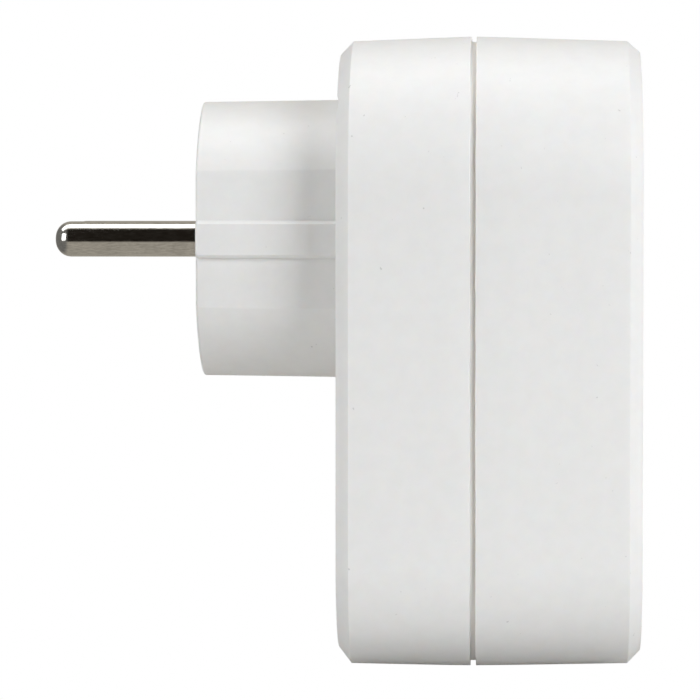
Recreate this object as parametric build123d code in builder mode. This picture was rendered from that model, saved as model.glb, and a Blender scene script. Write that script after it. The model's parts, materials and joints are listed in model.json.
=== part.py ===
from build123d import *
import os

# Plug in power meter: a Schuko plug on the back, a Schuko socket and a display on the front.
# The origin is where the plug's axis meets the wall side of the housing. +X points away from
# the wall towards the user, +Z is up, and the two pins stand side by side along Y.
# All lengths are in millimetres.

# Housing
housing_width = 58.0
housing_top = 27.4
housing_bottom = -57.2
housing_depth = 40.3
seam_x = 18.0
top_corner_radius = 20.5
bottom_corner_radius = 14.0
edge_chamfer = 1.7
wall = 2.4
side_draft = 0.6
rear_top_draft = 0.6
rear_bottom_draft = 0.2
front_top_draft = 0.65
front_bottom_draft = 0.37
groove_half_width = 0.34
groove_depth = 0.75
tongue_thickness = 0.9
tongue_height = 1.8
tongue_gap = 0.1
inner_front = housing_depth - wall

# Plug
plug_length = 19.2
plug_face_radius = 19.0
plug_root_radius = 19.25
plug_face_flat = 16.75
plug_root_flat = 16.9
plug_face_rib = 17.85
plug_root_rib = 18.0
plug_rib_width = 4.5
plug_edge_radius = 0.4
plug_flange_radius = 21.0
plug_flange_end = 4.9
plug_fit_gap = 0.08
plug_face_thickness = 2.6
plug_hollow_radius = 14.6
pin_radius = 2.4
pin_length = 19.6
pin_spacing = 19.0
pin_tip_radius = 1.7
pin_shank_radius = 2.1
pin_relief = 0.3
pin_collar_radius = 3.1
pin_collar_x = -15.0
pin_collar_length = 2.0
pin_boss_radius = 4.6
pin_tail_x = 3.3
pin_gap = 0.02

# Earth path
earth_width = 6.0
earth_thickness = 0.8
earth_contact_z = 17.55
earth_groove_gap = 0.1
earth_tip_radius = 0.32
bridge_width = 8.0
bridge_thickness = 0.5
bridge_leg_z = 19.3
bridge_leg_end = 18.9
clip_width = 5.0
clip_thickness = 0.5
clip_root_x = 17.6
clip_bend_x = 21.0
clip_root_z = 18.75
clip_bump_x = 32.5
clip_bump_z = 17.3
clip_bump_flat = 2.0
clip_tip_x = 37.6
clip_tip_z = 18.2

# Socket
recess_radius = 19.5
recess_depth = 17.5
cup_radius = 21.4
cup_gap = 0.1
cup_floor = 2.0
cup_flange_radius = 22.9
cup_flange_thickness = 2.0
cup_mouth_chamfer = 0.4
pin_hole_radius = 2.7
key_flat = 17.1
key_width = 17.2
key_groove_flat = 18.3
key_groove_width = 5.2
clip_slot_width = 6.4
clip_slot_z = 17.7
clip_pocket_z = 20.7
floor_front = housing_depth - recess_depth
floor_back = floor_front - cup_floor

# Shutter
shutter_back = 18.9
shutter_thickness = 1.6
shutter_hub_radius = 3.4
shutter_lobe_radius = 3.4
shutter_arm_width = 4.4
stud_radius = 1.5
stud_gap = 0.05
stud_end = 16.6
retainer_front = 16.4
retainer_thickness = 1.0
retainer_radius = 14.6
retainer_screw_z = 12.0
retainer_boss_radius = 2.2
retainer_hole_radius = 3.2
spring_wire_radius = 0.22
spring_radius = 2.6
spring_pitch = 0.6
spring_height = 1.8
spring_start = 16.75
spring_leg = 3.0

# Contacts and their carrier
bridge_x = 4.95
strap_x = 2.5
strap_thickness = 0.5
strap_plate = 6.4
strap_notch_gap = 0.3
carrier_back = 5.5
carrier_thickness = 2.0
carrier_front = carrier_back + carrier_thickness
carrier_block_width = 9.0
carrier_block_hole = 6.9
carrier_block_end = 15.2
carrier_ear_y = 23.6
carrier_ear_width = 7.0
carrier_plate_width = 30.0
carrier_plate_height = 34.0
carrier_pad = 4.0
carrier_pad_y = 13.0
carrier_pad_z = 15.0
carrier_pin_hole_radius = 2.8
sleeve_inner_radius = 2.45
sleeve_outer_radius = 3.0
sleeve_slit = 0.8
sleeve_end = 15.2
sleeve_collar = 1.8
contact_plate = 0.6
contact_base = 6.5
tail_y = 11.6
tail_width = 4.0
contact_leg_z = -23.9
pin_strap_leg_z = -26.4
tab_width = 2.0
tab_proud = 0.4
tab_gap = 0.1

# Boards
board_thickness = 1.6
board_half_width = 25.2
board_top = -22.6
board_shoulder = -44.7
board_bottom = -53.6
board_foot_half_width = 16.6
main_board_x = 12.4
main_board_front = main_board_x + board_thickness
display_board_x = 31.0
display_board_front = display_board_x + board_thickness
board_screw_y = 22.9
board_screw_z = (-28.0, -41.0)
link_z = -23.9
link_count = 8
link_pitch = 2.54
link_pin = 0.64

# Display
window_width = 36.0
window_height = 16.5
window_z = -33.25
window_recess = 0.3
window_gap = 0.1
window_flange_border = 0.9
window_flange_thickness = 0.8
window_corner_radius = 1.0
bezel_width = 41.0
bezel_height = 19.6
bezel_border = 1.2
lcd_width = 38.2
lcd_height = 17.0
lcd_back = 34.7
lcd_front = 36.9
lcd_pane = 1.1
lcd_ledge = 2.0
elastomer_width = 35.0
elastomer_height = 1.8
elastomer_offset = 6.6

# Buttons
button_z = -48.6
button_pitch = 12.5
button_width = 8.0
button_height = 4.6
button_gap = 0.2
button_recess = 0.1
button_end_radius = 2.29
button_edge_radius = 0.4
button_flange_width = 9.4
button_flange_height = 6.2
button_flange_back = 36.7
button_flange_thickness = 1.0
switch_size = 6.0
switch_front = 36.0
plunger_radius = 1.6
plunger_gap = 0.1
plunger_depth = 1.0
plunger_well_depth = 1.6

# Components on the boards
lead_width = 0.8
chip_height = 1.6
chip_standoff = 0.1
chip_lead_thickness = 0.3
chip_lead_share = 0.45
chip_lead_reach = 1.0
metering_chip_size = (10.0, 3.9)
metering_chip_place = (-3.0, -34.4)
metering_chip_leads = 8
controller_chip_size = (9.0, 7.0)
controller_chip_place = (4.0, -34.0)
controller_chip_leads = 10
capacitor_width = 15.0
capacitor_depth = 8.0
capacitor_height = 13.0
capacitor_edge_radius = 0.6
capacitor_place = (-8.5, -49.2)
can_radius = 4.0
can_height = 12.5
can_edge_radius = 0.4
can_groove_height = 1.4
can_place = (8.0, -49.2)
varistor_radius = 5.0
varistor_thickness = 3.6
varistor_edge_radius = 0.9
varistor_lead = 1.0
varistor_y = -17.0
varistor_z = -35.6
fuse_radius = 2.6
fuse_length = 12.0
fuse_cap_length = 3.0
fuse_cap_thickness = 0.2
fuse_x = 17.0
fuse_y = -11.0
fuse_z = -29.4
shunt_length = 10.0
shunt_width = 3.6
shunt_height = 6.0
shunt_thickness = 0.8
shunt_bend_radius = 1.1
shunt_y = 3.0
shunt_z = -28.6
diode_radius = 1.3
diode_length = 5.0
diode_y = (-10.5, -7.0, -3.5, 0.0)
diode_z = -41.0
crystal_length = 10.2
crystal_width = 3.8
crystal_height = 3.4
crystal_end_radius = 1.89
crystal_edge_radius = 0.4
crystal_place = (14.6, -29.3)
battery_radius = 5.5
battery_length = 15.0
battery_nub = 0.6
battery_x = 20.0
battery_y = 11.0
battery_z = -37.8
battery_nub_radius = 2.75
battery_edge_radius = 0.3
battery_tab_width = 3.0
battery_tab_thickness = 0.55

# Screws
case_screw_top = (20.3, 16.3)
case_screw_bottom = (20.6, -48.8)
case_boss_radius = 3.8
case_front_boss_radius = 2.9
case_hole_radius = 1.6
case_counterbore_radius = 3.0
case_counterbore_depth = 9.0
case_pilot_radius = 1.4
case_pilot_end = 30.0
case_screw_end = 28.0
case_shank_radius = 1.35
case_head_radius = 2.75
case_head_height = 2.2
board_screw_end = 5.0
small_boss_radius = 2.2
small_pilot_radius = 1.05
small_shank_radius = 1.0
small_head_radius = 1.9
small_head_height = 1.2
drive_depth_share = 0.55
drive_length_share = 1.3
drive_width_share = 0.3

# Places and sizes derived from the values above
pin_y = pin_spacing / 2
tongue_inset = wall - tongue_thickness
plug_side = 3 * plug_root_radius
case_points = [(side * y, z) for y, z in (case_screw_top, case_screw_bottom) for side in (-1, 1)]
board_points = [(y, z) for z in board_screw_z for y in (-board_screw_y, board_screw_y)]
pin_points = [(-pin_y, 0), (pin_y, 0)]
ear_points = [(-carrier_ear_y, 0), (carrier_ear_y, 0)]
retainer_points = [(0, -retainer_screw_z), (0, retainer_screw_z)]
button_places = {"left": -button_pitch, "centre": 0.0, "right": button_pitch}
link_points = [((i - (link_count - 1) / 2) * link_pitch, link_z) for i in range(link_count)]


def housing_outline(x, inset=0.0):
    """Rounded outline of the housing at depth x, drafted inwards away from the seam."""
    if x < seam_x:
        run = (seam_x - x) / (seam_x - edge_chamfer)
        top = housing_top - rear_top_draft * run
        bottom = housing_bottom + rear_bottom_draft * run
    else:
        run = (x - seam_x) / (housing_depth - edge_chamfer - seam_x)
        top = housing_top - front_top_draft * run
        bottom = housing_bottom + front_bottom_draft * run
    width = housing_width - 2 * side_draft * run - 2 * inset
    with BuildSketch(Plane.YZ.offset(x)) as outline:
        with Locations((0, (top + bottom) / 2)):
            Rectangle(width, top - bottom - 2 * inset)
        fillet(outline.vertices().group_by(Axis.Y)[-1], top_corner_radius - inset)
        fillet(outline.vertices().group_by(Axis.Y)[0], bottom_corner_radius - inset)
    return outline.sketch


def plug_profile(x, radius, flat, rib, gap=0.0):
    """Round plug section with a flat on each side and a rib along the middle of each flat."""
    with BuildSketch(Plane.YZ.offset(x)) as profile:
        Circle(radius + gap)
        Rectangle(2 * (flat + gap), plug_side, mode=Mode.INTERSECT)
        Rectangle(2 * (rib + gap), plug_rib_width + 2 * gap)
    return profile.sketch


def post(x0, x1, radius, points, mode=Mode.ADD):
    """Round posts or holes along X from x0 to x1, one at each (y, z) point."""
    with BuildSketch(Plane.YZ.offset(x0)) as section:
        with Locations(*points):
            Circle(radius)
    extrude(section.sketch, amount=x1 - x0, mode=mode)


def block(x0, x1, width, height, points=((0, 0),), radius=0.0, mode=Mode.ADD):
    """Blocks or rectangular holes along X from x0 to x1, one centred on each (y, z) point."""
    with BuildSketch(Plane.YZ.offset(x0)) as section:
        with Locations(*points):
            if radius:
                RectangleRounded(width, height, radius)
            else:
                Rectangle(width, height)
    extrude(section.sketch, amount=x1 - x0, mode=mode)


def bar(y0, y1, points, radius):
    """Round bars along Y from y0 to y1, one at each (x, z) point."""
    with BuildSketch(Plane.XZ.offset(-y0)) as section:
        with Locations(*points):
            Circle(radius)
    extrude(section.sketch, amount=y0 - y1)


def make_screws(points, seat_x, shank_end, shank_radius, head_radius, head_height):
    """Identical cross-head screws along X: the head bears at seat_x, the shank ends at shank_end."""
    side = 1 if shank_end > seat_x else -1
    head_x = seat_x - side * head_height
    drive_end = head_x + side * head_height * drive_depth_share
    length = drive_length_share * head_radius
    width = drive_width_share * head_radius
    with BuildPart() as screws:
        post(seat_x, shank_end, shank_radius, points)
        post(head_x, seat_x, head_radius, points)
        block(head_x, drive_end, length, width, points, mode=Mode.SUBTRACT)
        block(head_x, drive_end, width, length, points, mode=Mode.SUBTRACT)
    return screws


# Housing shells

with BuildPart() as rear_shell:
    loft(
        [
            housing_outline(0, edge_chamfer),
            housing_outline(edge_chamfer),
            housing_outline(seam_x - groove_half_width),
        ],
        ruled=True,
    )
    extrude(housing_outline(seam_x - groove_half_width, groove_depth), amount=groove_half_width)
    loft([housing_outline(wall, wall), housing_outline(seam_x, wall)], ruled=True, mode=Mode.SUBTRACT)
    extrude(housing_outline(seam_x, tongue_inset), amount=tongue_height)
    extrude(housing_outline(seam_x, wall), amount=tongue_height, mode=Mode.SUBTRACT)
    post(wall / 2, seam_x, case_boss_radius, case_points)
    post(wall / 2, carrier_back, small_boss_radius, ear_points)
    post(wall / 2, main_board_x, small_boss_radius, board_points)
    post(0, case_counterbore_depth, case_counterbore_radius, case_points, mode=Mode.SUBTRACT)
    post(0, seam_x, case_hole_radius, case_points, mode=Mode.SUBTRACT)
    post(edge_chamfer, carrier_back, small_pilot_radius, ear_points, mode=Mode.SUBTRACT)
    post(wall, main_board_x, small_pilot_radius, board_points, mode=Mode.SUBTRACT)
    extrude(
        plug_profile(0, plug_root_radius, plug_root_flat, plug_root_rib, plug_fit_gap),
        amount=wall,
        mode=Mode.SUBTRACT,
    )

with BuildPart() as front_shell:
    loft(
        [
            housing_outline(seam_x + groove_half_width),
            housing_outline(housing_depth - edge_chamfer),
            housing_outline(housing_depth, edge_chamfer),
        ],
        ruled=True,
    )
    extrude(housing_outline(seam_x, groove_depth), amount=groove_half_width)
    loft(
        [housing_outline(seam_x, wall), housing_outline(inner_front, wall)],
        ruled=True,
        mode=Mode.SUBTRACT,
    )
    extrude(
        housing_outline(seam_x, tongue_inset - tongue_gap),
        amount=tongue_height + tongue_gap,
        mode=Mode.SUBTRACT,
    )
    post(seam_x, inner_front + wall / 2, case_front_boss_radius, case_points)
    post(display_board_front, inner_front + wall / 2, small_boss_radius, board_points)
    post(seam_x, case_pilot_end, case_pilot_radius, case_points, mode=Mode.SUBTRACT)
    post(display_board_front, inner_front, small_pilot_radius, board_points, mode=Mode.SUBTRACT)
    post(inner_front, housing_depth, cup_radius + cup_gap, [(0, 0)], mode=Mode.SUBTRACT)
    block(
        inner_front,
        housing_depth,
        window_width,
        window_height,
        [(0, window_z)],
        window_corner_radius,
        mode=Mode.SUBTRACT,
    )
    block(
        inner_front,
        housing_depth,
        button_width + 2 * button_gap,
        button_height + 2 * button_gap,
        [(y, button_z) for y in button_places.values()],
        button_height / 2,
        mode=Mode.SUBTRACT,
    )

# Plug

with BuildPart() as plug_body:
    loft(
        [
            plug_profile(-plug_length, plug_face_radius, plug_face_flat, plug_face_rib),
            plug_profile(0, plug_root_radius, plug_root_flat, plug_root_rib),
        ],
        ruled=True,
    )
    fillet(plug_body.faces().sort_by(Axis.X)[0].edges(), plug_edge_radius)
    extrude(plug_profile(0, plug_root_radius, plug_root_flat, plug_root_rib), amount=wall)
    post(wall, plug_flange_end, plug_flange_radius, [(0, 0)])
    with BuildSketch(Plane.YZ.offset(plug_face_thickness - plug_length)) as plug_hollow:
        Circle(plug_hollow_radius)
        with Locations(*pin_points):
            Circle(pin_boss_radius, mode=Mode.SUBTRACT)
    extrude(plug_hollow.sketch, amount=wall + plug_length - plug_face_thickness, mode=Mode.SUBTRACT)
    post(wall, plug_flange_end, plug_hollow_radius, [(0, 0)], mode=Mode.SUBTRACT)
    post(-plug_length, wall, pin_shank_radius + pin_gap, pin_points, mode=Mode.SUBTRACT)
    block(
        wall,
        strap_x + strap_thickness + strap_notch_gap,
        tail_width + 2 * strap_notch_gap,
        plug_flange_radius,
        [(y, -plug_flange_radius / 2) for y in (-tail_y, tail_y)],
        mode=Mode.SUBTRACT,
    )
    post(
        pin_collar_x,
        pin_collar_x + pin_collar_length,
        pin_collar_radius + pin_gap,
        pin_points,
        mode=Mode.SUBTRACT,
    )
    block(
        -plug_length,
        plug_flange_end,
        earth_width + 2 * earth_groove_gap,
        plug_flange_radius - earth_contact_z,
        [(0, side * (plug_flange_radius + earth_contact_z) / 2) for side in (-1, 1)],
        mode=Mode.SUBTRACT,
    )


def make_plug_pin(y):
    """Solid round pin with a domed tip, a thinner shank and a collar that locks it in the plug body."""
    with BuildPart() as pin:
        post(-plug_length - pin_length, -plug_length - pin_relief, pin_radius, [(y, 0)])
        fillet(pin.faces().sort_by(Axis.X)[0].edges(), pin_tip_radius)
        post(-plug_length - pin_relief, pin_tail_x, pin_shank_radius, [(y, 0)])
        post(pin_collar_x, pin_collar_x + pin_collar_length, pin_collar_radius, [(y, 0)])
    return pin


live_pin = make_plug_pin(-pin_y)
neutral_pin = make_plug_pin(pin_y)


def make_plug_earth_contact(side):
    """Flat strip lying in the plug's groove, with its wall end rounded."""
    with BuildPart() as contact:
        block(
            edge_chamfer - plug_length,
            plug_flange_end,
            earth_width,
            earth_thickness,
            [(0, side * (earth_contact_z + earth_thickness / 2))],
        )
        fillet(contact.faces().sort_by(Axis.X)[0].edges().filter_by(Axis.Y), earth_tip_radius)
    return contact


plug_earth_contact_upper = make_plug_earth_contact(1)
plug_earth_contact_lower = make_plug_earth_contact(-1)

# Socket

with BuildPart() as socket_cup:
    post(floor_back, housing_depth, cup_radius, [(0, 0)])
    post(
        inner_front - cup_gap - cup_flange_thickness,
        inner_front - cup_gap,
        cup_flange_radius,
        [(0, 0)],
    )
    with BuildSketch(Plane.YZ.offset(floor_front)) as recess:
        Circle(recess_radius)
        with Locations((key_flat + recess_radius / 2, 0), (-key_flat - recess_radius / 2, 0)):
            Rectangle(recess_radius, key_width, mode=Mode.SUBTRACT)
        Rectangle(2 * key_groove_flat, key_groove_width)
    extrude(recess.sketch, amount=recess_depth, mode=Mode.SUBTRACT)
    chamfer(socket_cup.faces().sort_by(Axis.X)[-1].edges(), cup_mouth_chamfer)
    post(floor_back, floor_front, pin_hole_radius, pin_points, mode=Mode.SUBTRACT)
    block(
        floor_back,
        housing_depth - cup_floor,
        clip_slot_width,
        clip_pocket_z - clip_slot_z,
        [(0, side * (clip_pocket_z + clip_slot_z) / 2) for side in (-1, 1)],
        mode=Mode.SUBTRACT,
    )
    post(stud_end, floor_back, stud_radius, [(0, 0)])
    post(retainer_front, floor_back, retainer_boss_radius, retainer_points)
    post(
        retainer_front,
        floor_back + cup_floor / 2,
        small_pilot_radius,
        retainer_points,
        mode=Mode.SUBTRACT,
    )


def make_earth_clip(side):
    """Springy earth strip: it bows in towards the socket's axis and flares out at its tip."""
    centre_line = [
        (clip_root_x, clip_root_z),
        (clip_bend_x, clip_root_z),
        (clip_bump_x - clip_bump_flat, clip_bump_z),
        (clip_bump_x, clip_bump_z),
        (clip_tip_x, clip_tip_z),
    ]
    outer = [(x, side * (z + clip_thickness / 2)) for x, z in centre_line]
    inner = [(x, side * (z - clip_thickness / 2)) for x, z in centre_line]
    with BuildPart() as clip:
        with BuildSketch(Plane.XZ.offset(-clip_width / 2)):
            with BuildLine():
                Polyline(*outer, *reversed(inner), close=True)
            make_face()
        extrude(amount=clip_width)
    return clip


earth_clip_upper = make_earth_clip(1)
earth_clip_lower = make_earth_clip(-1)

with BuildPart() as shutter:
    post(shutter_back, shutter_back + shutter_thickness, shutter_hub_radius, [(0, 0)])
    block(shutter_back, shutter_back + shutter_thickness, pin_spacing, shutter_arm_width)
    post(shutter_back, shutter_back + shutter_thickness, shutter_lobe_radius, pin_points)
    post(
        shutter_back,
        shutter_back + shutter_thickness,
        stud_radius + stud_gap,
        [(0, 0)],
        mode=Mode.SUBTRACT,
    )

with BuildPart() as shutter_spring:
    with BuildLine() as spring_line:
        coil = Helix(
            spring_pitch,
            spring_height,
            spring_radius,
            center=(spring_start, 0, 0),
            direction=(1, 0, 0),
        )
        Line(coil @ 1, coil @ 1 + (coil % 1) * spring_leg)
        Line(coil @ 0 - (coil % 0) * spring_leg, coil @ 0)
    with BuildSketch(Plane(origin=coil @ 0 - (coil % 0) * spring_leg, z_dir=coil % 0)):
        Circle(spring_wire_radius)
    sweep(path=spring_line.line)

with BuildPart() as shutter_retainer:
    post(retainer_front - retainer_thickness, retainer_front, retainer_radius, [(0, 0)])
    for holes, hole_radius in ((pin_points, retainer_hole_radius), (retainer_points, small_pilot_radius)):
        post(retainer_front - retainer_thickness, retainer_front, hole_radius, holes, mode=Mode.SUBTRACT)

# Contacts, straps and their carrier

with BuildPart() as contact_carrier:
    block(carrier_back, carrier_front, carrier_plate_width, carrier_plate_height)
    block(carrier_back, carrier_front, 2 * (carrier_ear_y + small_boss_radius), carrier_ear_width)
    block(
        plug_flange_end,
        carrier_back,
        carrier_pad,
        carrier_pad,
        [(y, z) for y in (-carrier_pad_y, carrier_pad_y) for z in (-carrier_pad_z, carrier_pad_z)],
    )
    block(carrier_front, carrier_block_end, carrier_block_width, carrier_block_width, pin_points)
    block(
        carrier_front,
        carrier_block_end,
        carrier_block_hole,
        carrier_block_hole,
        pin_points,
        mode=Mode.SUBTRACT,
    )
    block(
        carrier_front,
        carrier_front + contact_plate + 2 * tab_gap,
        tail_width + 2 * tab_gap,
        carrier_block_width,
        [(y, -carrier_block_width / 2) for y in (-tail_y, tail_y)],
        mode=Mode.SUBTRACT,
    )
    post(carrier_back, carrier_front, carrier_pin_hole_radius, pin_points, mode=Mode.SUBTRACT)
    post(carrier_back, carrier_front, small_pilot_radius, ear_points, mode=Mode.SUBTRACT)


def add_tail(side, x0, thickness, top_z, leg_z):
    """Strip that runs down the inside at depth x0, then forward through the main board as a tab."""
    bottom = leg_z - thickness / 2
    block(x0, x0 + thickness, tail_width, top_z - bottom, [(side * tail_y, (top_z + bottom) / 2)])
    block(x0, main_board_x - tab_gap, tail_width, thickness, [(side * tail_y, leg_z)])
    block(x0, main_board_front + tab_proud, tab_width, thickness, [(side * tail_y, leg_z)])


def make_pin_strap(side):
    """Brass strap riveted on a plug pin's inner end and soldered to the main board."""
    with BuildPart() as strap:
        block(strap_x, strap_x + strap_thickness, strap_plate, strap_plate, [(side * pin_y, 0)])
        add_tail(side, strap_x, strap_thickness, 0, pin_strap_leg_z)
        post(strap_x, pin_tail_x, pin_shank_radius + pin_gap, [(side * pin_y, 0)], mode=Mode.SUBTRACT)
    return strap


def make_socket_contact(side):
    """Split spring sleeve that grips a plug's pin, with a tail soldered to the main board."""
    with BuildPart() as contact:
        block(
            carrier_front,
            carrier_front + contact_plate,
            contact_base,
            contact_base,
            [(side * pin_y, 0)],
        )
        post(carrier_front, sleeve_end, sleeve_outer_radius, [(side * pin_y, 0)])
        add_tail(side, carrier_front, contact_plate, 0, contact_leg_z)
        post(carrier_front, sleeve_end, sleeve_inner_radius, [(side * pin_y, 0)], mode=Mode.SUBTRACT)
        for width, height in ((sleeve_slit, contact_base), (contact_base, sleeve_slit)):
            block(
                carrier_front + sleeve_collar,
                sleeve_end,
                width,
                height,
                [(side * pin_y, 0)],
                mode=Mode.SUBTRACT,
            )
    return contact


live_pin_strap = make_pin_strap(-1)
neutral_pin_strap = make_pin_strap(1)
live_socket_contact = make_socket_contact(-1)
neutral_socket_contact = make_socket_contact(1)

with BuildPart() as earth_bridge:
    block(bridge_x, bridge_x + bridge_thickness, bridge_width, 2 * (bridge_leg_z + bridge_thickness))
    block(
        bridge_x,
        bridge_leg_end,
        earth_width,
        bridge_thickness,
        [(0, side * (bridge_leg_z + bridge_thickness / 2)) for side in (-1, 1)],
    )

# Boards


def add_board(x):
    """Board blank with its lower corners cut away round the case screw posts."""
    front = x + board_thickness
    for half_width, bottom in ((board_half_width, board_shoulder), (board_foot_half_width, board_bottom)):
        block(x, front, 2 * half_width, board_top - bottom, [(0, (board_top + bottom) / 2)])
    post(x, front, small_pilot_radius, board_points, mode=Mode.SUBTRACT)
    block(x, front, link_pin + tab_gap, link_pin + tab_gap, link_points, mode=Mode.SUBTRACT)


with BuildPart() as main_board:
    add_board(main_board_x)
    for leg_z in (contact_leg_z, pin_strap_leg_z):
        block(
            main_board_x,
            main_board_front,
            tab_width + 2 * tab_gap,
            contact_plate + 2 * tab_gap,
            [(y, leg_z) for y in (-tail_y, tail_y)],
            mode=Mode.SUBTRACT,
        )

with BuildPart() as display_board:
    add_board(display_board_x)

with BuildPart() as board_link_header:
    block(
        main_board_front,
        main_board_front + link_pitch,
        link_count * link_pitch,
        link_pitch,
        [(0, link_z)],
    )
    block(
        main_board_front,
        main_board_front + link_pitch,
        link_pin + tab_gap,
        link_pin + tab_gap,
        link_points,
        mode=Mode.SUBTRACT,
    )

with BuildPart() as board_link_pins:
    block(main_board_x - link_pitch / 2, display_board_front - tab_gap, link_pin, link_pin, link_points)

# Main board components


def make_chip(x, size, place, lead_pairs, side=1):
    """Surface-mounted chip with a row of flat leads along its upper and lower edges."""
    width, height = size
    y, z = place
    lead_pitch = width / lead_pairs
    leads = [(y + (i - (lead_pairs - 1) / 2) * lead_pitch, z) for i in range(lead_pairs)]
    with BuildPart() as chip:
        block(x + side * chip_standoff, x + side * chip_height, width, height, [place])
        block(
            x,
            x + side * chip_lead_thickness,
            lead_pitch * chip_lead_share,
            height + 2 * chip_lead_reach,
            leads,
        )
    return chip


metering_chip = make_chip(main_board_front, metering_chip_size, metering_chip_place, metering_chip_leads)
controller_chip = make_chip(
    display_board_x,
    controller_chip_size,
    controller_chip_place,
    controller_chip_leads,
    side=-1,
)

with BuildPart() as film_capacitor:
    block(
        main_board_front,
        main_board_front + capacitor_height,
        capacitor_width,
        capacitor_depth,
        [capacitor_place],
    )
    fillet(film_capacitor.edges().filter_by(Axis.X), capacitor_edge_radius)

with BuildPart() as smoothing_capacitor:
    post(main_board_front, main_board_front + can_height, can_radius, [can_place])
    fillet(smoothing_capacitor.faces().sort_by(Axis.X)[-1].edges(), can_edge_radius)
    post(
        main_board_front + can_groove_height,
        main_board_front + 2 * can_groove_height,
        can_radius,
        [can_place],
        mode=Mode.SUBTRACT,
    )
    post(
        main_board_front + can_groove_height,
        main_board_front + 2 * can_groove_height,
        can_radius - can_edge_radius,
        [can_place],
    )

with BuildPart() as varistor:
    with BuildSketch(Plane.XY.offset(varistor_z - varistor_thickness / 2)):
        with Locations((main_board_front + varistor_radius + varistor_lead, varistor_y)):
            Circle(varistor_radius)
    extrude(amount=varistor_thickness)
    fillet(varistor.edges().filter_by(GeomType.CIRCLE), varistor_edge_radius)
    block(
        main_board_front,
        main_board_front + varistor_radius,
        lead_width,
        lead_width,
        [(varistor_y + lead, varistor_z) for lead in (-varistor_radius / 2, varistor_radius / 2)],
    )

with BuildPart() as fuse:
    glass_radius = fuse_radius - fuse_cap_thickness
    bar(fuse_y - fuse_length / 2, fuse_y + fuse_length / 2, [(fuse_x, fuse_z)], glass_radius)
    for end in (-1, 1):
        cap_y = fuse_y + end * (fuse_length - fuse_cap_length) / 2
        bar(cap_y - fuse_cap_length / 2, cap_y + fuse_cap_length / 2, [(fuse_x, fuse_z)], fuse_radius)
        block(main_board_front, fuse_x, lead_width, lead_width, [(cap_y, fuse_z)])

with BuildPart() as current_shunt:
    block(
        main_board_front,
        main_board_front + shunt_height,
        shunt_length,
        shunt_width,
        [(shunt_y, shunt_z)],
    )
    block(
        main_board_front,
        main_board_front + shunt_height - shunt_thickness,
        shunt_length - 2 * shunt_thickness,
        shunt_width,
        [(shunt_y, shunt_z)],
        mode=Mode.SUBTRACT,
    )
    fillet(
        current_shunt.faces().sort_by(Axis.X)[-1].edges().filter_by(Axis.Z),
        shunt_bend_radius,
    )

with BuildPart() as rectifier_diodes:
    with BuildSketch(Plane.XY.offset(diode_z - diode_length / 2)):
        with Locations(*[(main_board_front + diode_radius, y) for y in diode_y]):
            Circle(diode_radius)
    extrude(amount=diode_length)

with BuildPart() as crystal:
    block(
        main_board_front,
        main_board_front + crystal_height,
        crystal_length,
        crystal_width,
        [crystal_place],
        crystal_end_radius,
    )
    fillet(crystal.faces().sort_by(Axis.X)[-1].edges(), crystal_edge_radius)

battery_ends = (battery_y - battery_length / 2, battery_y + battery_length / 2)
with BuildPart() as backup_battery:
    bar(*battery_ends, [(battery_x, battery_z)], battery_radius)
    bar(battery_ends[1], battery_ends[1] + battery_nub, [(battery_x, battery_z)], battery_nub_radius)
    fillet(backup_battery.faces().sort_by(Axis.Y)[0].edges(), battery_edge_radius)

with BuildPart() as battery_tabs:
    block(
        main_board_front,
        battery_x + battery_tab_width / 2,
        battery_tab_thickness,
        battery_tab_width,
        [
            (battery_ends[0] - battery_nub / 2, battery_z),
            (battery_ends[1] + battery_nub * 3 / 2, battery_z),
        ],
    )

# Display

with BuildPart() as display_window:
    block(
        inner_front - window_flange_thickness,
        inner_front,
        window_width + 2 * window_flange_border,
        window_height + 2 * window_flange_border,
        [(0, window_z)],
    )
    block(
        inner_front,
        housing_depth - window_recess,
        window_width - 2 * window_gap,
        window_height - 2 * window_gap,
        [(0, window_z)],
        window_corner_radius - window_gap,
    )

with BuildPart() as lcd_bezel:
    block(display_board_front, lcd_front, bezel_width, bezel_height, [(0, window_z)])
    block(
        display_board_front,
        lcd_front,
        bezel_width - 2 * bezel_border,
        bezel_height - 2 * bezel_border,
        [(0, window_z)],
        mode=Mode.SUBTRACT,
    )

with BuildPart() as lcd_glass:
    block(lcd_back, lcd_back + lcd_pane, lcd_width, lcd_height, [(0, window_z)])
    block(lcd_back + lcd_pane, lcd_front, lcd_width, lcd_height - 2 * lcd_ledge, [(0, window_z)])

with BuildPart() as elastomer_strips:
    block(
        display_board_front,
        lcd_back,
        elastomer_width,
        elastomer_height,
        [(0, window_z + side * elastomer_offset) for side in (-1, 1)],
    )


# Buttons


def make_button(y):
    """Push button cap with a flange that keeps it behind the front shell."""
    with BuildPart() as button:
        block(
            button_flange_back,
            button_flange_back + button_flange_thickness,
            button_flange_width,
            button_flange_height,
            [(y, button_z)],
        )
        block(
            button_flange_back,
            housing_depth - button_recess,
            button_width,
            button_height,
            [(y, button_z)],
            button_end_radius,
        )
        fillet(button.faces().sort_by(Axis.X)[-1].edges(), button_edge_radius)
    return button


def make_plunger(y):
    """Round plunger of a tactile switch, standing out of the switch's front."""
    with BuildPart() as plunger:
        post(switch_front - plunger_depth, button_flange_back, plunger_radius, [(y, button_z)])
    return plunger


with BuildPart() as tact_switches:
    switch_points = [(y, button_z) for y in button_places.values()]
    block(display_board_front, switch_front, switch_size, switch_size, switch_points)
    post(
        switch_front - plunger_well_depth,
        switch_front,
        plunger_radius + plunger_gap,
        switch_points,
        mode=Mode.SUBTRACT,
    )

# Screws

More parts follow.
